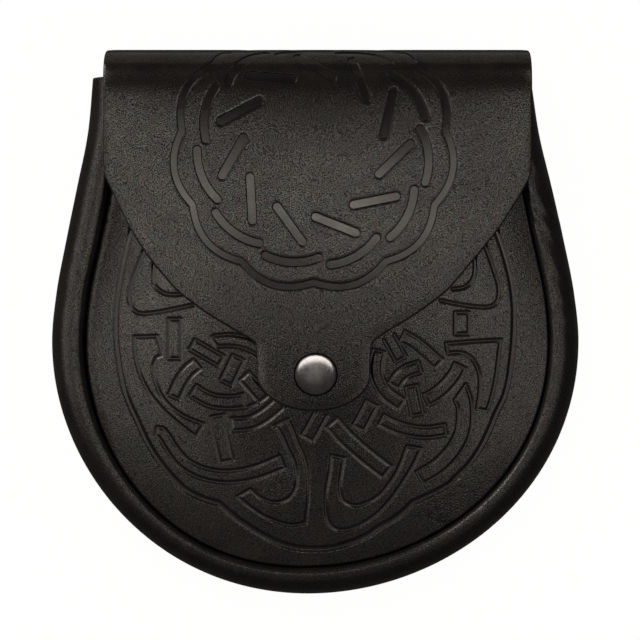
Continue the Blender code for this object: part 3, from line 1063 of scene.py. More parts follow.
@dataclass(frozen=True)
class LeatherFinish:
    """Black dyed leather: colour in its thin and its deep parts, gloss and grain, with shade painted in the
    walls of pressed lines and in cracks.
    """

    name: str
    dark: Colour = (0.0075, 0.0066, 0.0058)
    light: Colour = (0.0150, 0.0128, 0.0112)
    edge: Colour = (0.0130, 0.0110, 0.0095)
    gloss_rough: float = 0.17
    floor_rough: float = 0.13
    edge_rough: float = 0.62
    grain: float = 0.36
    grain_depth: float = 0.00006
    sparkle: float = 0.50
    crack_shade: float = 0.6
    warm_gloss: Colour = (1.0, 0.94, 0.93)
    cool_gloss: Colour = (0.94, 1.0, 0.96)
    gloss_level: float = 0.5
    gloss_change: float = 0.03
    blushing: Point = (0.35, 0.65)
    smoothed: float = 0.85  # share of the grain that pressing takes away

    def _roughness(self, sheet: NodeSheet, mottle: Socket, pressed: Socket, cut: Socket) -> Socket:
        """Glossier on the floors of pressed lines, dull on cut edges."""
        glossy = (self.gloss_rough + self.gloss_change, self.gloss_rough - self.gloss_change)
        rough = sheet.spread(mottle, *NOISE_RANGE, *glossy)
        for mark, there in ((pressed, self.floor_rough), (cut, self.edge_rough)):
            rough = sheet.sum("ADD", rough, sheet.sum("MULTIPLY", mark, there - self.gloss_rough))
        return rough

    def material(self, grain_tree: bpy.types.NodeTree) -> bpy.types.Material:
        """Makes the finish on the shared grain."""
        made, sheet, inputs = blank_finish(self.name)
        pressed, cut, wall = (sheet.mark(name) for name in ("pressed", "cut_edge", "wall"))
        node = sheet.add("ShaderNodeGroup", node_tree=grain_tree)
        sheet.feed(node.inputs["Place"], sheet.place())
        sheet.feed(node.inputs["Creasing"], sheet.mark("creased"))
        grain = node.outputs
        mottle = sheet.spread(grain["Mottle"], *NOISE_RANGE)
        colour = sheet.blend(mottle, (*self.dark, 1), (*self.light, 1))
        colour = sheet.blend(cut, colour, (*self.edge, 1))
        # Painted shade: the walls of the pressed lines and the cracks are darkened towards black in colour
        # here, and in gloss below
        painted_shade = sheet.sum("MAXIMUM", wall, sheet.sum("MULTIPLY", grain["Crease"], self.crack_shade))
        sheet.feed(inputs["Base Color"], sheet.blend(painted_shade, colour, (0.0, 0.0, 0.0, 1.0)))
        sheet.feed(inputs["Roughness"], self._roughness(sheet, grain["Mottle"], pressed, cut))
        kept = sheet.sum("MULTIPLY_ADD", pressed, -self.smoothed, 1.0)
        height = sheet.sum("MULTIPLY", grain["Height"], kept)
        sheet.feed(inputs["Normal"], sheet.bump(height, self.grain, self.grain_depth))
        level = sheet.spread(grain["Sparkle"], *NOISE_RANGE, -self.sparkle, self.sparkle)
        level = sheet.sum("MULTIPLY_ADD", level, kept, self.gloss_level)
        # The painted shade also takes the gloss out of the walls and cracks
        level = sheet.sum("MULTIPLY", level, sheet.sum("SUBTRACT", 1.0, painted_shade))
        sheet.feed(inputs["Specular IOR Level"], level)
        blush = sheet.spread(grain["Blush"], *self.blushing)
        gloss = sheet.blend(blush, (*self.warm_gloss, 1), (*self.cool_gloss, 1))
        sheet.feed(inputs["Specular Tint"], gloss)
        return made


@dataclass(frozen=True)
class MetalFinish:
    """Antique nickel, brushed by handling."""

    name: str
    colour: Colour = (0.44, 0.425, 0.42)
    tarnish: Colour = (0.31, 0.275, 0.27)
    tarnished: Noise = (170.0, 4.0, 0.6)
    tarnished_from: Point = (0.3, 0.75)
    rough: Point = (0.25, 0.36)
    handled: Noise = (900.0, 3.0, 0.6)
    scratches: Noise = (3200.0, 4.0, 0.7)
    scratch_strength: float = 0.25
    scratch_depth: float = 0.00002

    def material(self) -> bpy.types.Material:
        """Makes the finish."""
        made, sheet, inputs = blank_finish(self.name)
        place = sheet.place()
        dull = sheet.spread(sheet.noise(place, *self.tarnished), *self.tarnished_from)
        sheet.feed(inputs["Base Color"], sheet.blend(dull, (*self.colour, 1), (*self.tarnish, 1)))
        sheet.feed(inputs["Metallic"], 1.0)
        rough = sheet.spread(sheet.noise(place, *self.handled), *NOISE_RANGE, *self.rough)
        sheet.feed(inputs["Roughness"], rough)
        scratches = sheet.noise(place, *self.scratches)
        relief = sheet.bump(scratches, self.scratch_strength, self.scratch_depth)
        sheet.feed(inputs["Normal"], relief)
        return made


@dataclass(frozen=True)
class ThreadFinish:
    """Waxed black thread."""

    name: str
    colour: Colour = (0.013, 0.0125, 0.012)
    paleness: float = 2.2
    rough: float = 0.55
    fibres: Noise = (4200.0, 2.0, 0.6)
    fibre_strength: float = 0.5
    fibre_depth: float = 0.00005

    def material(self) -> bpy.types.Material:
        """Makes the finish."""
        made, sheet, inputs = blank_finish(self.name)
        fibres = sheet.noise(sheet.place(), *self.fibres)
        pale = tuple(self.paleness * part for part in self.colour)
        sheet.feed(inputs["Base Color"], sheet.blend(fibres, (*self.colour, 1), (*pale, 1)))
        sheet.feed(inputs["Roughness"], self.rough)
        sheet.feed(inputs["Normal"], sheet.bump(fibres, self.fibre_strength, self.fibre_depth))
        return made


class Finishes:
    """The materials, each made once."""

    def __init__(self) -> None:
        """Makes the shared grain and every finish."""
        grain = LeatherGrain().group()
        self.embossed = LeatherFinish("embossed_leather").material(grain)
        self.plain = LeatherFinish("plain_leather", gloss_rough=0.28, grain=0.40).material(grain)
        self.metal = MetalFinish("antique_nickel").material()
        self.thread = ThreadFinish("waxed_thread").material()


# ---------------------------------------------------------------- the pieces


def dress(piece: bpy.types.Object, finish: bpy.types.Material, slot: str, *stands_for: str) -> None:
    """Gives a piece its finish, attaches it to the root body and hides the frame's nodes that it stands
    for.

    Args:
        piece: The finished piece.
        finish: Its material.
        slot: Not used.
        stands_for: The frame's nodes that it is shown for.
    """
    piece.data.materials.clear()
    piece.data.materials.append(finish)
    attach(piece, "root")
    if stands_for:
        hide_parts(*stands_for)
    LOG.info("%s: %d faces", piece.name, len(piece.data.polygons))


def round_loop(centre: Point, radius: float, count: int = 48) -> Array:
    """A round loop of some points, clockwise."""
    return np.array(centre) + on_circle(np.linspace(2 * math.pi, 0, count, endpoint=False), radius)


@dataclass
class BackAndFlap:
    """Back panel, fold and flap in one piece, with the ring of lobes pressed into the flap."""

    shape: PouchShape
    lean: Lean
    lobe_centre: Point = (-0.6, 62.95)
    turns: int = 11
    lobe_valley: float = 49.1
    lobe_rise: float = 2.95
    # Each line's shade setting paints dark shade on its walls
    lobe_line: Channel = Channel(floor=1.08, top=1.54, depth=0.60, lip=0.9, lip_share=0.18, painted_shade=0.95)
    arc_line: Channel = Channel(floor=1.34, top=1.82, depth=0.60, lip=0.8, lip_share=0.14, painted_shade=0.95)
    dash_line: Channel = Channel(floor=1.40, top=1.90, depth=0.60, lip=0.8, lip_share=0.14, painted_shade=0.95)
    # Curved dash: angle from the bottom towards the left, in degrees, and radius
    arc_rows: Run = ((57.2, 43.0), (43.4, 42.4), (30.0, 40.0))
    dash_centre: Point = (-0.5, 64.2)
    dash_angle: float = 17.2
    dash_radius: float = 30.2
    dash_length: float = 19.8
    dash_slant: float = 53.0
    barrel_hole: float = 3.7
    seat_line: Channel = Channel(floor=0.15, top=0.65, depth=0.45)
    seat_radius: float = 7.5
    lobe_samples: int = 460
    arc_samples: int = 14
    tab_samples: int = 40
    bowl_samples: int = 120
    edge_step: float = 1.5
    fold_step: float = 2.0
    back_top_y: float = 78.0
    soft_drop: float = 0.25

    @staticmethod
    def _spot(centre: Point, angle: Array, radius: Array) -> Array:
        """Place on the flat leather at an angle from a ring's bottom towards its left."""
        turn = np.radians(angle)
        around = np.column_stack([-np.sin(turn), -np.cos(turn)])
        return np.array(centre) + around * np.reshape(radius, (-1, 1))

    def _pattern(self) -> PressedPattern:
        """The scalloped band, the curved and the slanting dashes, and the stud's seat."""
        pattern = PressedPattern()
        step = pattern.step
        angle = np.linspace(0, 360, self.lobe_samples)
        lobes = np.abs(np.sin(np.radians(angle) * self.turns / 2))
        radius = self.lobe_valley + self.lobe_rise * lobes
        pattern.press(self.lobe_line, [self._spot(self.lobe_centre, angle, radius)])
        arcs, dashes = [], []
        for turn in np.arange(self.turns) * 360 / self.turns:
            around = np.linspace(self.arc_rows[0][0], self.arc_rows[-1][0], self.arc_samples)
            away = np.polyval(np.polyfit(*np.transpose(self.arc_rows), 2), around)
            arcs.append(smooth_run(self._spot(self.lobe_centre, around + turn, away), step))
            middle = self._spot(self.dash_centre, self.dash_angle + turn, self.dash_radius)[0]
            outward = math.radians(self.dash_angle + turn + 180 - self.dash_slant)
            along = np.array([math.sin(outward), math.cos(outward)])
            reach = along * (self.dash_length / 2 - self.dash_line.top)
            dashes.append(straight_run([middle - reach, middle + reach], step))
        pattern.press(self.arc_line, arcs)
        pattern.press(self.dash_line, dashes)
        seat = round_loop(self.shape.stud, self.seat_radius)
        pattern.press(self.seat_line, [np.vstack([seat, seat[:1]])])
        return pattern

    def _outline(self) -> Array:
        """Edge of the flat piece, counter-clockwise from the right side of the tab."""
        shape = self.shape
        turn = np.linspace(0, -math.pi, self.tab_samples)
        end_y, end_half, end_x = shape.flap_rows[-1]
        tab = np.column_stack(
            [end_x + end_half * np.cos(turn), end_y + shape.tab_end_depth * np.sin(turn)]
        )
        y, half, centre = np.transpose(shape.flap_rows)
        left, right = both_sides(centre, half, y)
        fold_y = np.arange(y[0], self._back_start(), self.fold_step)[1:]
        fold_left, fold_right = both_sides(shape.fold_centre, shape.fold_half, fold_y)
        back_y = np.arange(self.back_top_y, shape.widest_y, -shape.side_step)
        back = both_sides(shape.rim_centre(back_y), shape.rim_half(back_y) - shape.back_inset, back_y)
        bowl = shape.rim_bowl(np.linspace(math.pi, 0, self.bowl_samples), shape.back_inset)
        back_left, back_right, bowl = (self._laid_flat(points) for points in (*back, bowl))
        clockwise = [tab[1:-1], smooth_run(left[::-1], self.edge_step), fold_left, back_left, bowl]
        clockwise += [back_right[::-1], fold_right[::-1], smooth_run(right, self.edge_step)]
        return np.vstack(clockwise)[::-1]

    def _laid_flat(self, points: Array) -> Array:
        """Places on the flat piece of points of the back panel."""
        x, y = points.T
        return np.column_stack([x, self._back_start() + self.shape.fold_back_y - y])

    def _back_start(self) -> float:
        """Place on the flat piece where the back panel leaves the fold."""
        distance, _, _ = self.shape.fold_profile()
        return self.shape.fold_front_y + float(distance[-1] - distance[0])

    def _surface(self, flat: Array) -> Array:
        """The flat piece bent to its shape: up the flap, over the fold and down the back."""
        shape = self.shape
        distance, fold_y, fold_z = shape.fold_profile()
        x, along = flat.T
        from_top = shape.fold_front_y + distance[-1] - along
        back_start = self._back_start()
        y = np.interp(from_top, distance, fold_y)
        z = np.interp(from_top, distance, fold_z)
        z += np.where(from_top > 0, shape.flap_height(x, y) - shape.flap_height(0.0, y), 0.0)
        on_flap, on_back = along < shape.fold_front_y, along > back_start
        z = np.where(on_flap, shape.flap_height(x, along), np.where(on_back, 0.0, z))
        y = np.where(on_flap, along, y)
        y = np.where(on_back, shape.fold_back_y - (along - back_start), y)
        return np.column_stack([x, y, z])

    def build(self, finishes: Finishes) -> bpy.types.Object:
        """Makes and dresses the piece."""
        sheet = LeatherSheet(
            surface=self._surface,
            loops=[self._outline(), round_loop(self.shape.stud, self.barrel_hole)],
            thick=self.shape.blank_thick,
            pattern=self._pattern(),
            soft_drop=self.soft_drop,
        )
        piece = sheet.build("flap_and_back_leather")
        self.lean.place(piece)
        dress(piece, finishes.embossed, "embossed_leather", "back_and_flap")
        return piece


@dataclass
class FrontPanel:
    """The domed front with its border and the knotwork of crossing ribbons."""

    shape: PouchShape
    lean: Lean
    ribbon_line: Channel = Channel(floor=0.0, top=1.2, depth=0.46, painted_shade=0.0)
    border_line: Channel = Channel(floor=0.15, top=1.7, depth=0.62, painted_shade=0.0)
    stem_hole: float = 2.9
    roll_reach: float = 3.6
    roll_drop: float = 1.0
    roll_fade: Point = (-52.0, -30.0)
    # The border, from under the flap at the left round the bottom to the right
    border: Sweep = Sweep(
        (
            (
                (-66.2, 39.5), (-68.8, 32), (-71.2, 22), (-73, 12.5), (-74, 4), (-74.2, -4), (-73.7, -11),
                (-72.6, -19), (-71, -26), (-68.8, -32), (-66, -38), (-63, -44.5), (-59.5, -50.5),
                (-55.5, -55.8), (-50, -61.7), (-45, -65), (-40, -67), (-35.7, -68.2),
            ),
            (
                (-33.5, -70.2), (-29, -74), (-24.5, -77), (-20, -79.8), (-15, -82.4),
                (-10, -84.2), (-5, -85.1), (0, -85.3), (5, -85), (10, -83.9), (15, -82.2),
                (20, -79.8), (23.5, -77.3), (29, -74.2), (33.5, -70.7), (36, -68),
            ),
            (
                (40, -66.2), (45, -63.9), (50, -61), (52, -59), (57.2, -53.8), (61.3, -48),
                (64.6, -41.5), (67.3, -35), (70.6, -28), (72.3, -21), (72.7, -18), (73.7, -9),
                (74.1, 0), (73.8, 8), (72.6, 16), (70.2, 25), (67.8, 32), (65.2, 39),
            ),
        )
    )
    knot_left: tuple[Sweep | Band | Outline, ...] = (
        Sweep((((-61.8, 30), (-64, 25), (-66.5, 19), (-68.3, 14), (-69.2, 9), (-68.8, 6), (-67, 3.3),
                (-64, 2.4), (-58, 3), (-52, 4.2), (-45, 5.6)),)),
        Sweep((((-59.4, 24.5), (-60, 19.5), (-60, 14), (-58.5, 11.5), (-56, 9.9), (-53, 9.4),
                (-49.5, 9.5)),)),
        Band(((-52.15, 0.3), (-52.15, -14.3)), 4.5),
        Outline((
            ((-58.8, -6),),
            ((-57.4, -10.5), (-57, -13.2)),
            ((-58.9, -13.9),),
            ((-60.2, -17.5), (-59.6, -22), (-57.2, -28), (-53.5, -32.3), (-48.5, -35.8),
             (-41.5, -38.6)),
            ((-44.3, -43.3),),
            ((-50, -39), (-55.8, -34), (-60, -29.2), (-62.8, -25), (-65.5, -19), (-67, -12),
             (-67.3, -6.3)),
        )),
        Band(((-45.6, -9.1), (-34.8, -15.3)), 4.2),
        Band(((-36.5, -7.8), (-32, -7.5), (-27, -8.2), (-22, -10.2), (-18.5, -12.6)), 4.2,
             end=End.OPEN, tip=((-38.8, -6.3),)),
        Band(((-28.5, -14), (-33, -23.3)), 4.6),
        Band(((-43.8, -16.4), (-47.2, -19.3), (-50, -23.3), (-52.4, -28.6)), 4.3),
        Band(((-45.3, -26.2), (-41.8, -28.4), (-38, -30), (-34, -30.5), (-30, -30.5),
              (-26.6, -29.8)), 4.6),
        Sweep((((-30, -32.8), (-25, -32.2), (-21, -30.5), (-17.5, -28)),)),
        Band(((-26.2, -20.8), (-19, -29)), 4.6, end=End.OPEN),
        Band(((-31, -38.8), (-25, -38.4), (-20, -36.2), (-15.5, -32.8), (-12.5, -30)), 4.4,
             end=End.OPEN),
        Band(((-36.3, -35.6), (-34.7, -44), (-32.8, -52.4)), 4.8),
        Band(((-57.8, -41.5), (-55.9, -43.6), (-53.4, -47.7), (-50, -52), (-46.2, -54.9),
              (-41.7, -56.9), (-36.5, -58), (-31.5, -58.2), (-26.5, -57.6), (-21.7, -56.4),
              (-17.2, -54.7), (-12.2, -52.6)), 4.8, start_width=3.6, tip=((-58.8, -39.8),)),
        Outline((
            ((-10, -36.8),),
            ((-9.8, -37.5), (-8, -41.5), (-6.3, -46), (-4.4, -50), (-3.2, -54.5), (-2.7, -60),
             (-2.7, -66), (-3.1, -71), (-3.6, -75.5)),
            ((-9, -76.2), (-14, -75), (-19, -72.9), (-24, -69.6), (-28.8, -65.6)),
            ((-24, -62.9),),
            ((-20, -66.2), (-15, -67.8), (-10.5, -66.6), (-7.9, -63.7), (-6.9, -60), (-7, -56),
             (-8, -52), (-10, -48), (-11.7, -44), (-14, -40), (-15.3, -39.3)),
        )),
        Band(((2.2, -34.5), (-0.9, -40.3), (-2.9, -43.7)), 4.6, start=End.OPEN),
    )
    knot_right: tuple[Sweep | Band | Outline, ...] = (
        Sweep((((62.1, 30), (64.3, 24.5), (66.2, 19), (68, 13), (68.1, 8.5), (66.5, 5.8), (63.5, 4.8),
                (59, 5), (53.5, 5.8), (46.5, 7.2)),)),
        Sweep((((59.2, 24.5), (59.3, 19.5), (58.8, 16), (57, 13.3), (54.5, 11.9), (51, 11.4)),)),
        Band(((54.45, 2.8), (54.45, -5.2)), 5.1),
        Outline((
            ((58, -8), (68.9, -7.4)),
            ((68.2, -13), (67.3, -20), (66, -27), (63.9, -33.8)),
            ((60.2, -33),),
            ((61.1, -26), (61, -20.5), (59.3, -15.8), (56.8, -13.2), (53.5, -12.1),
             (49.3, -12.4)),
            ((48.5, -8.8),),
        )),
        Band(((32.3, -6.2), (36.6, -8.5), (40.9, -12), (45.7, -16.3)), 4.3),
        Band(((27.4, -6.5), (31.8, -14.6)), 4.4, start=End.OPEN),
        Band(((23.7, -11.5), (22.7, -16), (22.7, -20), (24.2, -24.2), (27.3, -28),
              (32, -31.2)), 4.2),
        Band(((29.2, -24.2), (31.2, -21.1), (34.3, -18.9), (38.8, -17.4)), 4.2),
        Band(((35.7, -24.6), (37.9, -35.2)), 4.4),
        Band(((53.7, -17), (51.9, -20.5), (48.7, -24.4), (45, -27.6), (41.3, -29.7)), 4.4),
        Outline((
            ((55.9, -24),),
            ((57.4, -28), (58.1, -31.6), (58.2, -37.2), (57.3, -42.8), (54.7, -48.4),
             (50.9, -53.2), (46.3, -57.2), (40.2, -60.8)),
            ((37.6, -56.4),),
            ((43.3, -53), (47.1, -49.6), (50.3, -45.6), (52.3, -41.2), (53, -36.8),
             (52.9, -32.4), (51.8, -29.8)),
        )),
        Band(((24.6, -36.9), (28.2, -38.8), (32.2, -40.3), (37, -41.4), (42, -41.7),
              (48.4, -40.8)), 3.9),
        Band(((20.9, -30.9), (16.1, -39.9)), 4.4),
        Band(((6.4, -38), (11.2, -43.5), (18.5, -50), (26.5, -56.3)), 5.2),
        Outline((
            ((33.9, -47.2), (32.4, -51.5), (30.3, -56.3), (27.3, -61), (24.3, -64.6),
             (20, -67.5), (15, -68.9), (11, -67.5), (9.5, -65), (9.2, -60.5), (9.8, -56),
             (10.6, -51.3)),
            ((6, -50.3),),
            ((5.4, -56), (4.6, -60), (3.9, -65), (4, -70), (4.6, -74), (6.2, -76.7),
             (9.5, -78.1), (13.5, -77.5), (18.5, -75.2), (23.5, -71.5), (27.5, -67.3),
             (30.8, -62.8), (34, -57.8), (36.9, -52.7), (39.2, -47.7)),
            ((34.2, -46.9),),
        )),
    )
    # Where the skin is cracked or coarser: X, Y, half width, strength
    worn: Table = (
        (48.0, -73.0, 9.0, 1.0),
        (56.0, -62.0, 8.0, 0.6),
        (-11.0, -60.0, 11.0, 0.65),
        (14.0, -46.0, 8.0, 0.40),
    )
    top_samples: int = 50
    bowl_samples: int = 130

    def _pattern(self) -> PressedPattern:
        """The border and both halves of the knotwork."""
        pattern = PressedPattern()
        pattern.press(self.border_line, self.border.lines(pattern.step))
        ribbons = []
        for mark in self.knot_left + self.knot_right:
            ribbons += mark.lines(pattern.step)
        pattern.press(self.ribbon_line, ribbons)
        return pattern

    def _outline(self) -> Array:
        """Edge of the panel, counter-clockwise."""
        shape = self.shape
        y = np.arange(shape.panel_top_y, shape.widest_y, -shape.side_step)
        left, right = both_sides(shape.seam_centre(y), shape.seam_half(y) - shape.gap, y)
        top_x = np.linspace(right[0, 0], left[0, 0], self.top_samples)[1:-1]
        top = np.column_stack([top_x, np.full_like(top_x, shape.panel_top_y)])
        bowl = shape.seam_bowl(np.linspace(math.pi, 0, self.bowl_samples), shape.gap)
        return np.vstack([left, bowl, right[::-1], top])

    def _surface(self, flat: Array) -> Array:
        """The panel's outer face, rolled down into the groove at its left edge."""
        x, y = flat.T
        shape = self.shape
        inwards = (1 - shape.panel_share(x, y)) * float(shape.seam_half(shape.widest_y))
        roll = np.where(x < 0, np.clip(1 - inwards / self.roll_reach, 0, 1), 0.0)
        low, high = self.roll_fade
        fade = np.clip((y - low) / (high - low), 0, 1)
        height = shape.panel_height(x, y) - self.roll_drop * fade * roll**2
        return np.column_stack([x, y, height])

    def _creasing(self, piece: bpy.types.Object) -> None:
        """Marks where the skin is worn."""
        places = get_places(piece)
        worn = np.zeros(len(places))
        for x, y, half, strength in self.worn:
            away = np.hypot(places[:, 0] - x, places[:, 1] - y) / half
            worn = np.maximum(worn, strength * np.exp(-(away**2)))
        mark_points(piece.data, "creased", worn)

    def build(self, finishes: Finishes) -> bpy.types.Object:
        """Makes and dresses the piece."""
        sheet = LeatherSheet(
            surface=self._surface,
            loops=[self._outline(), round_loop(self.shape.stud, self.stem_hole)],
            thick=self.shape.panel_thick,
            pattern=self._pattern(),
        )
        piece = sheet.build("front_panel_leather")
        self._creasing(piece)
        self.lean.place(piece)
        dress(piece, finishes.embossed, "embossed_leather", "front_panel")
        return piece


@dataclass
class Gusset:
    """The side strip, rolled over into a rim and sewn down in the groove."""

    shape: PouchShape
    lean: Lean
    stations: int = 420
    across: int = 44
    side_share: float = 0.3
    # Soft wrinkles: X, Y of their middle, reach, length of one wrinkle, slant in degrees, depth
    wrinkles: Table = (
        (88.0, 38.0, 20.0, 5.5, 38.0, 0.22),
        (95.0, 5.0, 18.0, 7.0, 50.0, 0.10),
        (-92.0, 10.0, 26.0, 8.0, -48.0, 0.09),
        (60.0, -78.0, 20.0, 8.0, -30.0, 0.08),
    )
    wrinkled_from: float = 0.2
    wrinkled_over: float = 0.75
    sway: float = 1.3
    sway_length: float = 4.0

    def _edges(self) -> tuple[Array, Array]:
        """Rim and groove points, from the left end round the bottom to the right end."""
        shape = self.shape
        side = self.stations // 4
        y = np.linspace(shape.gusset_top_y, shape.widest_y, side)[:-1]
        angle = np.linspace(math.pi, 0, self.stations + 1 - 2 * (side - 1))
        both = []
        for centre, half, bowl in (
            (shape.rim_centre, shape.rim_half, shape.rim_bowl),
            (shape.seam_centre, shape.seam_half, shape.seam_bowl),
        ):
            left, right = both_sides(centre(y), half(y), y)
            both.append(np.vstack([left, bowl(angle), right[::-1]]))
        return both[0], both[1]

    def _section(self, share: Array, width: Array, y: Array) -> tuple[Array, Array]:
        """The strip's outer face across its width.

        Args:
            share: Place across the strip, from 0 at its foot to 1 in the groove.
            width: Distance between rim and groove at each place.
            y: Height of the rim at each place.

        Returns:
            The distance in from the rim, and the height.
        """
        shape = self.shape
        bent = np.clip((y - shape.sink_y) / (shape.gusset_top_y - shape.sink_y), 0, None)
        crest_z = shape.crest_z + (shape.crest_end_z - shape.crest_z) * bent**shape.sink_power
        run = np.clip((y - shape.fold_back_y) / (shape.fold_top_y - shape.fold_back_y), 0, None)
        climb = shape.foot_climb * shape.fold_mid_z * (1 - np.sqrt(1 - run**2))
        foot_z = shape.blank_thick + shape.gap + climb
        crest_in = shape.crest_share * width
        crest_share = (1 + self.side_share) / 2
        down = np.clip(1 - share / self.side_share, 0, 1)
        reach = shape.back_tuck * down**2
        height = shape.side_z - (shape.side_z - foot_z) * down
        turn = math.pi / 2 * np.clip((share - self.side_share) / (crest_share - self.side_share), 0, 1)
        rising = share > self.side_share
        reach = np.where(rising, crest_in * (1 - np.cos(turn)), reach)
        height = np.where(rising, shape.side_z + (crest_z - shape.side_z) * np.sin(turn), height)
        turn = math.pi / 2 * np.clip((share - crest_share) / (1 - crest_share), 0, 1)
        falling = share > crest_share
        reach = np.where(falling, crest_in + (width - crest_in) * np.sin(turn), reach)
        fall = (shape.crest_z - shape.seam_z) * (1 - np.cos(turn))
        return reach, np.where(falling, crest_z - fall, height)

    def build(self, finishes: Finishes) -> bpy.types.Object:
        """Makes and dresses the piece."""
        counts = {"x_subdivisions": self.stations, "y_subdivisions": self.across}
        piece = primitive(bpy.ops.mesh.primitive_grid_add, "rolled_gusset", size=2, **counts)
        grid = get_places(piece)
        rim, seam = self._edges()
        along = np.rint((grid[:, 0] + 1) / 2 * self.stations).astype(int)
        share = (grid[:, 1] + 1) / 2
        inward = seam - rim
        width = np.linalg.norm(inward, axis=1)
        inward /= width[:, None]
        reach, height = self._section(share, width[along], rim[along, 1])
        places = np.column_stack([rim[along] + inward[along] * reach[:, None], height])
        roll = np.sin(math.pi * np.clip((share - self.wrinkled_from) / self.wrinkled_over, 0, 1))
        for x, y, far, length, slant, depth in self.wrinkles:
            turn = math.radians(slant)
            off_x, off_y = places[:, 0] - x, places[:, 1] - y
            ripple = off_x * math.cos(turn) + off_y * math.sin(turn)
            sway = self.sway * np.sin(off_y / self.sway_length)
            wave = np.sin(2 * math.pi * ripple / length + sway)
            near = np.exp(-((off_x**2 + off_y**2) / far**2))
            places[:, 2] += depth * near * roll * wave
        set_places(piece, places)
        add_wall(piece, self.shape.gusset_thick, offset=-1)
        apply_modifiers(piece)
        piece.data.shade_smooth()
        self.lean.place(piece)
        dress(piece, finishes.plain, "plain_leather", "gusset")
        return piece


class Side(Enum):
    """A side of the pouch, seen from the front."""

    LEFT = -1
    RIGHT = 1


@dataclass
class BeltLoopSizes:
    """Sizes that the two belt loops share."""

    centre_x: float = 48.0
    centre_y: float = 58.0
    width: float = 26.0
    tunnel: float = 32.0
    clear: float = 5.4
    tab: float = 12.0
    rise: float = 5.0
    thick: float = 1.8


@dataclass
class BeltLoop:
    """A strip on the back panel, sewn flat at both ends and bridged over the belt."""

    shape: PouchShape
    lean: Lean
    sizes: BeltLoopSizes
    side: Side
    stitch_inset: float = 3.0
    stitch_pitch: float = 3.4
    stitch_long: float = 2.6
    stitch_thick: float = 0.75
    stitch_flatness: float = 0.7
    stitch_sink: float = 0.12
    row_inset: float = 1.6
    bend_samples: int = 9
    skived: float = 0.45
    sharpest: float = 60.0

    def _section(self) -> list[Point]:
        """Height on the pouch and depth behind it, along the strip's outer face."""
        sizes = self.sizes
        half = sizes.tunnel / 2
        sewn, clear = self.shape.gap, sizes.clear
        upper = [(half + sizes.rise + sizes.tab, sewn)]
        for along in np.linspace(0, 1, self.bend_samples):
            bend = along * along * (3 - 2 * along)
            upper.append((half + sizes.rise * (1 - along), sewn + (clear - sewn) * bend))
        return upper + [(-y, depth) for y, depth in upper[::-1]]

    def _strip(self) -> bpy.types.Object:
        """The strip: a plane's edge drawn along the section, then given its thickness."""
        sizes = self.sizes
        section = self._section()
        (start_y, start_depth), (next_y, next_depth) = section[:2]
        name = f"belt_strap_{self.side.name.lower()}"
        piece = primitive(bpy.ops.mesh.primitive_plane_add, name, size=1)
        corners = get_places(piece)
        first = corners[:, 1] > 0
        corners[:, 0] = corners[:, 0] * sizes.width
        corners[:, 1] = np.where(first, start_y, next_y)
        corners[:, 2] = -np.where(first, start_depth, next_depth)
        set_places(piece, corners)
        low = [vert.index for vert in piece.data.vertices if not first[vert.index]]
        bpy.ops.object.mode_set(mode="EDIT")
        bpy.ops.mesh.select_all(action="DESELECT")
        bpy.ops.object.mode_set(mode="OBJECT")
        for index in low:
            piece.data.vertices[index].select = True
        for edge in piece.data.edges:
            edge.select = all(index in low for index in edge.vertices)
        bpy.ops.object.mode_set(mode="EDIT")
        for (y, depth), (to_y, to_depth) in zip(section[1:], section[2:]):
            bpy.ops.mesh.extrude_region_move(
                TRANSFORM_OT_translate={"value": (0, to_y - y, depth - to_depth)}
            )
        bpy.ops.mesh.select_all(action="SELECT")
        bpy.ops.mesh.normals_make_consistent(inside=False)
        bpy.ops.object.mode_set(mode="OBJECT")
        if piece.data.polygons[0].normal.z > 0:
            piece.data.flip_normals()
        add_wall(piece, sizes.thick, offset=1)
        rounding = piece.modifiers.new("skived edge", "BEVEL")
        rounding.width = self.skived
        rounding.segments = 3
        rounding.limit_method = "ANGLE"
        rounding.angle_limit = math.radians(self.sharpest)
        apply_modifiers(piece)
        piece.data.shade_smooth()
        return piece

    def _stitch_rows(self) -> list[tuple[float, float, float]]:
        """Middle and turn of each stitch in the two sewn ends."""
        sizes = self.sizes
        half_wide = sizes.width / 2 - self.stitch_inset
        inner = sizes.tunnel / 2 + sizes.rise + self.row_inset
        outer = sizes.tunnel / 2 + sizes.rise + sizes.tab - self.stitch_inset
        rows = []
        across = int(2 * half_wide / self.stitch_pitch)
        up = max(int((outer - inner) / self.stitch_pitch), 1)
        for end in (-1, 1):
            for number in range(across):
                x = -half_wide + (number + 0.5) * 2 * half_wide / across
                rows += [(x, end * inner, 0.0), (x, end * outer, 0.0)]
            for number in range(up):
                y = inner + (number + 0.5) * (outer - inner) / up
                rows += [(-half_wide, end * y, math.pi / 2), (half_wide, end * y, math.pi / 2)]
        return rows

    def _stitches(self) -> bpy.types.Object:
        """The thread, one short stitch modelled and copied along the rows."""
        name = f"loop_stitches_{self.side.name.lower()}"
        add = bpy.ops.mesh.primitive_uv_sphere_add
        piece = primitive(add, name, segments=10, ring_count=6, radius=0.5)
        height = self.stitch_thick * self.stitch_flatness
        bpy.ops.object.mode_set(mode="EDIT")
        bpy.ops.mesh.select_all(action="SELECT")
        bpy.ops.transform.resize(value=(self.stitch_long, self.stitch_thick, height))
        bpy.ops.object.mode_set(mode="OBJECT")
        one = get_places(piece)
        faces = [list(face.vertices) for face in piece.data.polygons]
        places, all_faces = [], []
        surface = -(self.shape.gap + self.sizes.thick) - self.stitch_thick * self.stitch_sink
        for x, y, turn in self._stitch_rows():
            spun = np.column_stack(
                [
                    one[:, 0] * math.cos(turn) - one[:, 1] * math.sin(turn),
                    one[:, 0] * math.sin(turn) + one[:, 1] * math.cos(turn),
                    one[:, 2],
                ]
            )
            all_faces += [[index + len(places) * len(one) for index in face] for face in faces]
            places.append(spun + (x, y, surface))
        piece.data.clear_geometry()
        piece.data.from_pydata(np.vstack(places).tolist(), [], all_faces)
        piece.data.shade_smooth()
        return piece

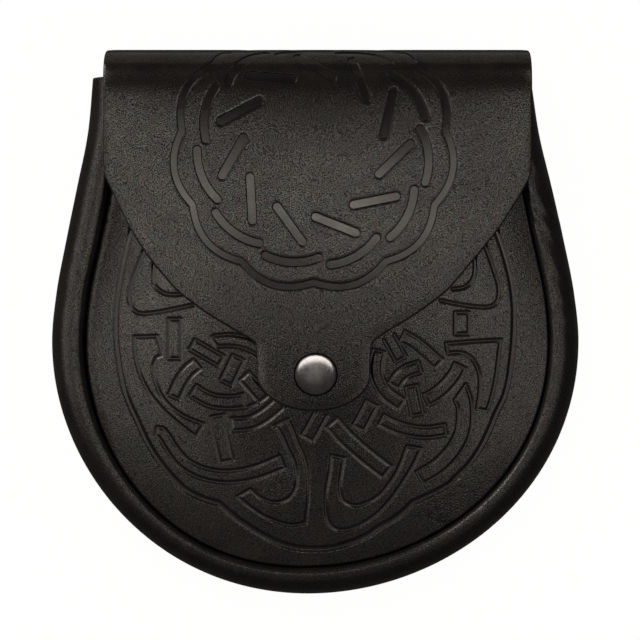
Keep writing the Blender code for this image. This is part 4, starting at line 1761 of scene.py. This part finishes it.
    def build(self, finishes: Finishes) -> list[bpy.types.Object]:
        """Makes and dresses the strip and its thread."""
        name = self.side.name.lower()
        seat = Matrix.Translation((self.side.value * self.sizes.centre_x, self.sizes.centre_y, 0))
        strip, thread = self._strip(), self._stitches()
        for piece in (strip, thread):
            piece.data.transform(seat)
            self.lean.place(piece)
        dress(strip, finishes.plain, "plain_leather", f"belt_loop_{name}")
        dress(thread, finishes.thread, "plain_leather")
        return [strip, thread]


@dataclass
class PressStud:
    """The stud's domed cap on the flap; its base stays hidden in the pouch."""

    shape: PouchShape
    lean: Lean
    radius: float = 7.5
    height: float = 3.4
    rim: float = 0.9
    barrel_radius: float = 3.4
    barrel_bore: float = 2.1
    bore_roof: float = 0.4
    curl_in: float = 0.3
    curl_down: float = 0.25
    sharpest: float = 50.0

    def build(self, finishes: Finishes) -> bpy.types.Object:
        """Makes and dresses the cap, and gives the hidden base its metal."""
        shape = self.shape
        add = bpy.ops.mesh.primitive_uv_sphere_add
        piece = primitive(add, "stud_dome", segments=96, ring_count=48, radius=self.radius)
        bpy.ops.object.mode_set(mode="EDIT")
        bpy.ops.mesh.select_all(action="SELECT")
        bpy.ops.mesh.bisect(plane_co=(0, 0, 0), plane_no=(0, 0, 1), clear_inner=True)
        bpy.ops.mesh.select_all(action="SELECT")
        flat = (self.height - self.rim) / self.radius
        bpy.ops.transform.resize(value=(1, 1, flat))
        bpy.ops.mesh.select_all(action="DESELECT")
        bpy.ops.mesh.select_non_manifold()
        last = self.radius
        for radius, drop in (
            (self.radius, self.rim - shape.gap - self.curl_down),
            (self.radius - self.curl_in, self.curl_down),
            (self.barrel_radius, 0.0),
            (self.barrel_radius, shape.gap + shape.blank_thick),
            (self.barrel_bore, 0.0),
            (self.barrel_bore, -(shape.blank_thick + self.bore_roof)),
        ):
            self._draw_rim(last, radius, drop)
            last = radius
        bpy.ops.mesh.edge_face_add()
        bpy.ops.mesh.select_all(action="SELECT")
        bpy.ops.mesh.normals_make_consistent(inside=False)
        bpy.ops.object.mode_set(mode="OBJECT")
        x, y = shape.stud
        face = float(shape.flap_height(np.array(x), np.array(y)))
        piece.data.transform(Matrix.Translation((x, y, face + self.rim)))
        piece.data.shade_smooth()
        piece.data.set_sharp_from_angle(angle=math.radians(self.sharpest))
        self.lean.place(piece)
        dress(piece, finishes.metal, "stud_metal", "stud_cap")
        base = bpy.data.objects["stud_base"]
        for slot in base.material_slots:
            slot.material = finishes.metal
        return piece

    @staticmethod
    def _draw_rim(radius: float, to_radius: float, drop: float) -> None:
        """Draws the open rim that is selected to a new radius and down by a drop."""
        share = to_radius / radius
        bpy.ops.mesh.extrude_region_move(TRANSFORM_OT_translate={"value": (0, 0, -drop)})
        if share != 1:
            bpy.ops.transform.resize(value=(share, share, 1))


# ---------------------------------------------------------------- studio


@dataclass(frozen=True)
class Card:
    """A soft light: where it hangs and what it points at, its width and height in metres, and its watts."""

    hang_z = 800.0
    aim_z = 30.0

    name: str
    spot: Spot
    aim: Spot
    size: Point
    power: float

    @classmethod
    def overhead(cls, name: str, x: float, y: float, size: Point, power: float) -> Card:
        """A light that hangs over a place on the pouch and looks down on it."""
        return cls(name, (x, y, cls.hang_z), (x, y - 1, cls.aim_z), size, power)


@dataclass
class Studio:
    """A pale floor, soft lights over the pouch and the camera straight above it."""

    lean: Lean
    leather: list[bpy.types.Object]
    stud: bpy.types.Object
    camera_spot: Spot = (1.78, 0.0, 780.0)
    sensor: float = 36.0
    focal_pixels: float = 2027.0
    frame_pixels: float = 640.0
    clip: Point = (0.01, 50.0)
    floor_size: float = 8.0
    floor_shade: Colour = (0.9, 0.9, 0.9)
    floor_rough: float = 0.9
    floor_glow: float = 0.96
    warm: Colour = (1.0, 0.928, 0.842)
    plain: Colour = (1.0, 0.985, 0.95)
    room: Colour = (1.0, 0.95, 0.9)
    room_strength: float = 0.050
    cards: tuple[Card, ...] = (
        Card.overhead("strip", -170, 79, (0.46, 0.026), 0.15),
        Card.overhead("strip_high", -170, 105, (0.46, 0.026), 0.08),
        Card.overhead("sheet_low", -70, 20, (0.50, 0.08), 0.03),
        Card.overhead("flank_left", -230, 45, (0.26, 0.05), 0.04),
        Card.overhead("strip_high_left", -195, 134, (0.41, 0.032), 0.05),
        Card.overhead("sheet_right", 200, 88, (0.44, 0.07), 0.24),
        Card.overhead("flank_right", 130, 30, (0.12, 0.06), 0.02),
        Card("top_mid", (0, 470, 580), (0, 60, 30), (1.2, 0.2), 0.06),
        Card("back_card", (0, 330, -5), (0, 180, 60), (0.8, 0.3), 0.19),
        Card("left_box", (-330, -60, 800), (-60, 0, 30), (0.40, 0.20), 0.31),
        Card("left_down", (-330, -200, 780), (-60, 0, 30), (0.40, 0.08), 0.06),
        Card("left_mid", (-640, 60, 620), (-60, 0, 20), (0.2, 0.5), 0.35),
        Card("left_low", (-750, 60, 330), (-60, 0, 20), (0.3, 0.6), 0.75),
        Card("right_box", (350, -60, 800), (60, 0, 30), (0.40, 0.20), 0.25),
        Card("right_down", (350, -200, 780), (60, 0, 30), (0.40, 0.08), 0.10),
        Card("right_mid", (640, 0, 620), (60, 0, 20), (0.2, 0.5), 0.28),
        Card("corner_left", (-430, 420, 600), (-20, 0, 30), (0.35, 0.25), 0.40),
        Card("corner_left_low", (-560, 520, 330), (-20, 0, 30), (0.40, 0.30), 2.0),
        Card("corner_right", (450, 420, 600), (20, 0, 30), (0.35, 0.25), 0.50),
        Card("foot_box", (0, -290, 760), (0, -60, 30), (0.9, 0.24), 0.13),
        Card("foot_far", (0, -520, 560), (0, -60, 30), (1.2, 0.3), 0.15),
    )
    stud_box: Card = Card("stud_box", (-30, 420, 330), (0, -20, 35), (1.7, 0.5), 7.0)
    stud_fill: Card = Card("stud_fill", (-40, 30, 820), (0, -20, 35), (0.5, 0.5), 0.15)

    def camera(self) -> None:
        """The camera, which looks straight down on the pouch's front."""
        lens = bpy.data.cameras.new("camera")
        lens.sensor_width = self.sensor
        lens.lens = self.focal_pixels * self.sensor / self.frame_pixels
        lens.clip_start, lens.clip_end = self.clip
        camera = bpy.data.objects.new("camera", lens)
        bpy.context.scene.collection.objects.link(camera)
        camera.matrix_world = Matrix.Translation(self.lean.spot(*self.camera_spot)) @ self._turn()
        bpy.context.scene.camera = camera

    def _turn(self) -> Matrix:
        """The pouch's lean without its scale or place."""
        return self.lean.matrix.to_quaternion().to_matrix().to_4x4()

    def light(self, card: Card, reached: bpy.types.Collection, colour: Colour) -> None:
        """A soft rectangular light.

        Args:
            card: Its place, size and power.
            reached: The pieces that it shines on.
            colour: Its colour.
        """
        lamp = bpy.data.lights.new(card.name, "AREA")
        lamp.shape = "RECTANGLE"
        lamp.size, lamp.size_y = card.size
        lamp.energy = card.power
        lamp.color = colour
        holder = bpy.data.objects.new(card.name, lamp)
        bpy.context.scene.collection.objects.link(holder)
        place = self.lean.spot(*card.spot)
        back = (place - self.lean.spot(*card.aim)).normalized()
        up = back.cross((1, 0, 0)).normalized()
        turn = Matrix((up.cross(back), up, back)).transposed()
        holder.matrix_world = Matrix.Translation(place) @ turn.to_4x4()
        holder.light_linking.receiver_collection = reached

    @staticmethod
    def _reached(name: str, pieces: list[bpy.types.Object]) -> bpy.types.Collection:
        """The pieces as a collection that a light can be kept to."""
        reached = bpy.data.collections.new(f"lit_{name}")
        for piece in pieces:
            reached.objects.link(piece)
        return reached

    def lights(self) -> None:
        """Soft lights for the leather, two for the stud, and a little light from all round."""
        leather, metal = self._reached("leather", self.leather), self._reached("metal", [self.stud])
        for card in self.cards:
            self.light(card, leather, self.warm)
        self.light(self.stud_box, metal, self.plain)
        self.light(self.stud_fill, metal, self.warm)
        world = bpy.data.worlds.new("studio")
        world.use_nodes = True
        back = world.node_tree.nodes["Background"]
        back.inputs["Color"].default_value = (*self.room, 1)
        back.inputs["Strength"].default_value = self.room_strength
        bpy.context.scene.world = world

    def floor(self) -> None:
        """A plain pale floor, which glows by itself and shows in no reflection."""
        floor = primitive(bpy.ops.mesh.primitive_plane_add, "studio_floor", size=self.floor_size)
        pale, _, inputs = blank_finish("pale_floor")
        inputs["Base Color"].default_value = (*self.floor_shade, 1)
        inputs["Roughness"].default_value = self.floor_rough
        inputs["Specular IOR Level"].default_value = 0.0
        inputs["Emission Color"].default_value = (1, 1, 1, 1)
        inputs["Emission Strength"].default_value = self.floor_glow
        floor.data.materials.append(pale)
        floor.visible_glossy = False
        floor.visible_diffuse = False

    def build(self) -> None:
        """Sets all of it up, and the plain way of showing colours."""
        self.camera()
        self.lights()
        self.floor()
        bpy.context.scene.view_settings.view_transform = "Standard"


def main() -> None:
    """Builds the pouch piece by piece round its frame, and the studio."""
    logging.basicConfig(level=logging.INFO, format="%(name)s %(message)s")
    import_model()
    shape, loops = PouchShape(), BeltLoopSizes()
    lean = Lean.from_frame(shape, loops)
    finishes = Finishes()
    leather = [maker(shape, lean).build(finishes) for maker in (BackAndFlap, FrontPanel, Gusset)]
    for side in Side:
        leather += BeltLoop(shape, lean, loops, side).build(finishes)
    stud = PressStud(shape, lean).build(finishes)
    Studio(lean, leather, stud).build()
    bpy.context.view_layer.update()


if __name__ == "__main__":
    main()
